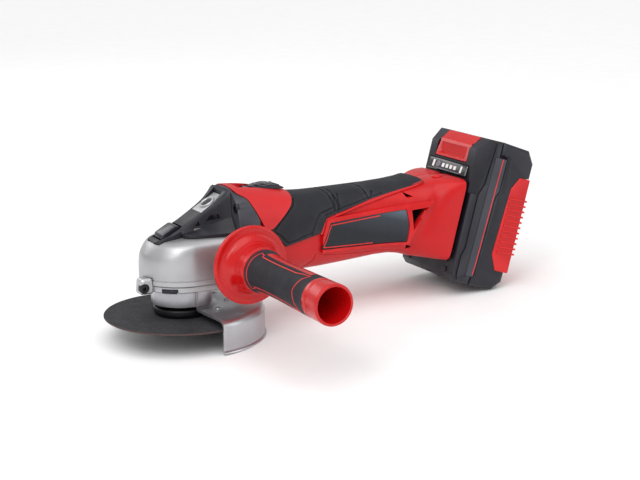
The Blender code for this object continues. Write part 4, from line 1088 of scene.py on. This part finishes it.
def battery_pad():
    """Red rear grip: a back plate, two cheeks with slanting ends, and ribs across them."""
    shape = block((253.9, -38.2, 74), (257, 38.2, 150.6))
    pad = piece("battery_pad_fine", shape, "red", "battery", ["battery_grip_pad"], BATTERY_FRAME,
                edge=0.6)
    for side in (-1, 1):
        unite(pad, slab(WING, *span(side, 36.9, 38.5), 0.35), BATTERY_FRAME)
    for k in range(11):
        u = 89 + 4.35 * k
        rib = [(241.2, u), (258.3, u), (258.3, u + 1.5), (241.2, u + 1.5)]
        unite(pad, slab(rib, -39.3, 39.3, 0.3, 0.4), BATTERY_FRAME)
    carve(pad, block((236, -36.9, 70), (253.9, 36.9, 155)), BATTERY_FRAME)
    settle(pad, 30)


def latch():
    side_shape = [(202.7, 153.6), (206, 153.6), (206, 167.6), (216.4, 167.6), (216.4, 175.2),
                  (211.4, 175.2), (205.2, 167.6)]
    made = refined("battery_latch", slab(side_shape, -21.4, 21.4, 0.6, 0.5), "red_gloss", "latch",
                   place=BATTERY_FRAME)
    pocket = []
    for n, grow in ((195, 1.4), (203.4, 1), (205.2, -0.6)):
        wide, low, high = 18 + grow, 156.2 - grow, 165.2 + 0.6 * grow
        outline = [(-wide, low), (wide, low), (wide, high), (-wide, high)]
        pocket.append([(n, y, u) for y, u in rounded(outline, 1.4)])
    carve(made, loft(pocket), BATTERY_FRAME)
    settle(made, 30)


def gauge_mark(name, y0, y1, u0, u1, look):
    """A raised mark on the gauge's leaning face."""
    n0, n1 = [GAUGE_FACE + 1.2 * (u - GAUGE_LOW) / (GAUGE_HIGH - GAUGE_LOW) for u in (u0, u1)]
    lift = [(n0 - 0.12, u0), (n0 + 0.6, u0), (n1 + 0.6, u1), (n1 - 0.12, u1)]
    settle(piece(name, slab(lift, y0, y1, 0.1), look, "battery", place=BATTERY_FRAME))


def gauge():
    side_shape = [
        (GAUGE_FACE, GAUGE_LOW), (GAUGE_FACE + 0.8, GAUGE_LOW - 0.8), (GAUGE_FACE + 4.6, GAUGE_LOW - 0.8),
        (GAUGE_FACE + 4.6, GAUGE_HIGH), (GAUGE_FACE + 1.2, GAUGE_HIGH),
    ]
    made = refined("charge_gauge", slab(side_shape, -26.8, 26.8, 0.9), "smoke", "battery",
                   place=BATTERY_FRAME, edge=0.3)
    centre = (0, 12, 146.6)
    carve(made, turned(rod(3, 190, GAUGE_FACE + 3.6), 32, "X", centre), BATTERY_FRAME)
    settle(made)
    gauge_mark("gauge_end_left", 17.6, 20.2, 144, 149.4, "white")
    gauge_mark("gauge_end_right", -20.6, -18.4, 144, 149.4, "white")
    for k, u in enumerate((143.1, 149.9)):
        gauge_mark(f"gauge_edge_{k + 1}", -18.4, 17.6, u, u + 0.4, "grey")
    for k in range(4):
        y = 5.4 - 5.4 * k
        gauge_mark(f"gauge_bar_{k + 1}", y - 1.7, y + 1.7, 145.2, 148.2, "white")
    face = GAUGE_FACE - 0.2
    button = [(0, face + 0.3), (1.5, face + 0.3), (1.9, face - 0.1), (2.5, face), (2.7, face + 0.5),
              (2.7, face + 2.4), (0, face + 2.4)]
    settle(refined("gauge_button", turned(button, 32, "X", centre), "grey", "gauge_button",
                   place=BATTERY_FRAME))


def battery_bands():
    """A dark band down each side of the battery, with a thin red line on it."""
    strip = [(217.2, 66.6), (224.2, 66.6), (225, 76), (227, 131.8), (229.6, 136.8),
             (229.9, 162.4), (219, 162.4)]
    line = [(222.9, 68), (223.6, 68), (224.4, 76), (226.9, 162.2), (226.1, 162.2), (223.7, 76)]
    for side, word in ((-1, "right"), (1, "left")):
        settle(piece(f"battery_label_{word}", slab(strip, *span(side, 37.2, 37.85)), "band", "battery",
                     place=BATTERY_FRAME))
        settle(piece(f"battery_line_{word}", slab(line, *span(side, 37.6, 37.95)), "line", "battery",
                     place=BATTERY_FRAME))


# ---------------------------------------------------------------- side handle

# The soft grip: (distance, radius) along it, and half of the line drawn round each panel as
# (distance, angle from the panel's middle).
GRIP_KNOTS = [
    (GRIP_START, 15.9), (77, 15.1), (84, 14.1), (95, 13.6), (110, 13.5), (125, 13.8),
    (GRIP_END, 14.1),
]
GRIP_LINE = [
    (77.6, 58), (82, 56), (82, 50), (85, 49), (131, 49), (138, 55),
    (147.5, 59), (143.6, 38), (140.5, 0),
]


def grip_radius(t):
    for (t0, r0), (t1, r1) in zip(GRIP_KNOTS, GRIP_KNOTS[1:]):
        if t <= t1:
            return r0 + (r1 - r0) * (t - t0) / (t1 - t0)
    return GRIP_KNOTS[-1][1]


def grip_side(low, high, count):
    return [(grip_radius(t), t) for t in steps_between(low, high, count)]


def on_grip(t, angle):
    """A point just above the grip, and the way out from there."""
    turn = radians(angle)
    normal = Vector((cos(turn), 0, sin(turn)))
    return Vector(HANDLE_CENTRE) + Vector((0, -t, 0)) + normal * (grip_radius(t) + 0.02), normal


def side_handle():
    end = HANDLE_END
    core = [
        (4.4, BOSS_END + GAP), (10, BOSS_END + GAP), (11, 44), (13, 48.5), (26, 50.2),
        (DISH_R, 51.2), (DISH_R, 53), (27.4, 53.9), (25, 53.7), (22.6, 54.2), (20.6, 55.6),
        (18.9, 58.2), (17.6, 62), (16.8, 67), (16.5, GRIP_START - GAP), (11.4, GRIP_START - GAP),
        (11.4, GRIP_END + GAP), (14.1, GRIP_END + GAP), (14.1, 158.4), (13.6, 158.8), (13.6, 159.2),
        (14.1, 159.6), (14.4, end - 1), (13.9, end), (12.3, end), (11.4, 160), (8.8, 146),
        (8.4, 126), (0, 125), (0, 62.5), (4.4, 62.5),
    ]
    handle = refined("side_handle", turned(rounded(core, 0.7), 96, "Y", HANDLE_CENTRE), "red_gloss",
                     "handle")
    sleeve = [(11.7, GRIP_START), (grip_radius(GRIP_START) - 0.5, GRIP_START)]
    sleeve += grip_side(GRIP_START + 0.5, GRIP_END - 0.5, 20)
    sleeve += [(grip_radius(GRIP_END) - 0.5, GRIP_END), (11.7, GRIP_END)]
    soft = piece("handle_grip_fine", turned(sleeve, 96, "Y", HANDLE_CENTRE), "rubber", "handle",
                 ["side_handle_grip"])
    low, high = 81.5, 144.5
    strip = [(10, low), (grip_radius(low), low)] + grip_side(low + 0.5, high - 0.5, 12)
    strip += [(grip_radius(high), high), (10, high)]
    window = tube(10, 20, low - GAP, high + GAP)
    for middle in (GRIP_ANGLE + 90, GRIP_ANGLE + 270):
        unite(handle, turned(strip, 14, "Y", HANDLE_CENTRE, middle - 25, 50))
        carve(soft, turned(window, 14, "Y", HANDLE_CENTRE, middle - 26.2, 52.4))
    settle(handle, 30)
    settle(soft, 30)
    outline = GRIP_LINE + [(t, -a) for t, a in reversed(GRIP_LINE[:-1])]
    outline += [(76.6, -30), (76.3, 0), (76.6, 30)]
    for word, middle in (("near", GRIP_ANGLE), ("far", GRIP_ANGLE + 180)):
        path = []
        for (t0, a0), (t1, a1) in zip(outline, outline[1:] + outline[:1]):
            count = max(2, int(max(abs(t1 - t0) / 3, abs(a1 - a0) / 6)))
            for step in range(count):
                share = step / count
                path.append(on_grip(t0 + (t1 - t0) * share, middle + a0 + (a1 - a0) * share))
        stripe = bead(path, 0.45, 6, closed=True, flat=0.5)
        settle(piece(f"handle_line_{word}", stripe, "line", "handle"))


# ---------------------------------------------------------------- inner parts and floor

INNER = {
    "steel": ["crown_gear", "spindle_bearing", "spindle_top_bush", "spindle_lock_pin",
              "spindle_lock_spring", "pinion_gear", "motor_shaft", "motor_front_bearing",
              "motor_rear_bearing", "motor_can", "side_handle_stud"],
    "copper": ["armature", "commutator"],
    "charcoal": ["cooling_fan", "rear_bearing_seat", "brush_holder", "switch_link",
                 "switch_module", "battery_rail", "terminal_block"],
    "magnet": ["magnet_left", "magnet_right", "carbon_brush_left", "carbon_brush_right"],
    "board": ["control_board", "battery_board"],
    "cell": ["cell_pack"],
}


def dress_inner_nodes():
    """Gives each CAD node that stays its finish, and a fine rounding on its edges."""
    for look, names in INNER.items():
        for name in names:
            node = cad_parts[name]
            node.data.materials.clear()
            node.data.materials.append(LOOKS[look])
            round_edges(node, 0.15, 1, 40)


def floor():
    """A pale floor that the guard's lip and the battery's lower corner both touch."""
    front = Vector((20, 0, GUARD_LOW - 0.1)) * MM
    corner = BATTERY_FRAME @ Vector((246, 0, 58.5))
    rear = Vector((corner.x, 0, corner.z - 0.4)) * MM
    slope = (rear.z - front.z) / (rear.x - front.x)
    reach = 25
    mesh = bpy.data.meshes.new("floor")
    points = [(x, y, front.z + slope * (x - front.x)) for x, y in
              ((-reach, -reach), (reach, -reach), (reach, reach), (-reach, reach))]
    mesh.from_pydata(points, [], [(0, 1, 2, 3)])
    made = added("floor", mesh)
    mesh.materials.append(LOOKS["floor"])


set_camera()
set_lights()
make_looks()
bpy.context.scene.view_settings.view_transform = "Standard"
wheel_pieces()
guard()
gear_case()
bearing_cap()
screws()
head_cover()
housing("housing_right", 1)
housing("housing_left", -1)
label("label_panel_right", 1)
label("label_panel_left", -1)
grip()
bonnet()
motor_flange()
slide_switch()
battery_shells()
battery_pad()
latch()
gauge()
battery_bands()
side_handle()
dress_inner_nodes()
floor()
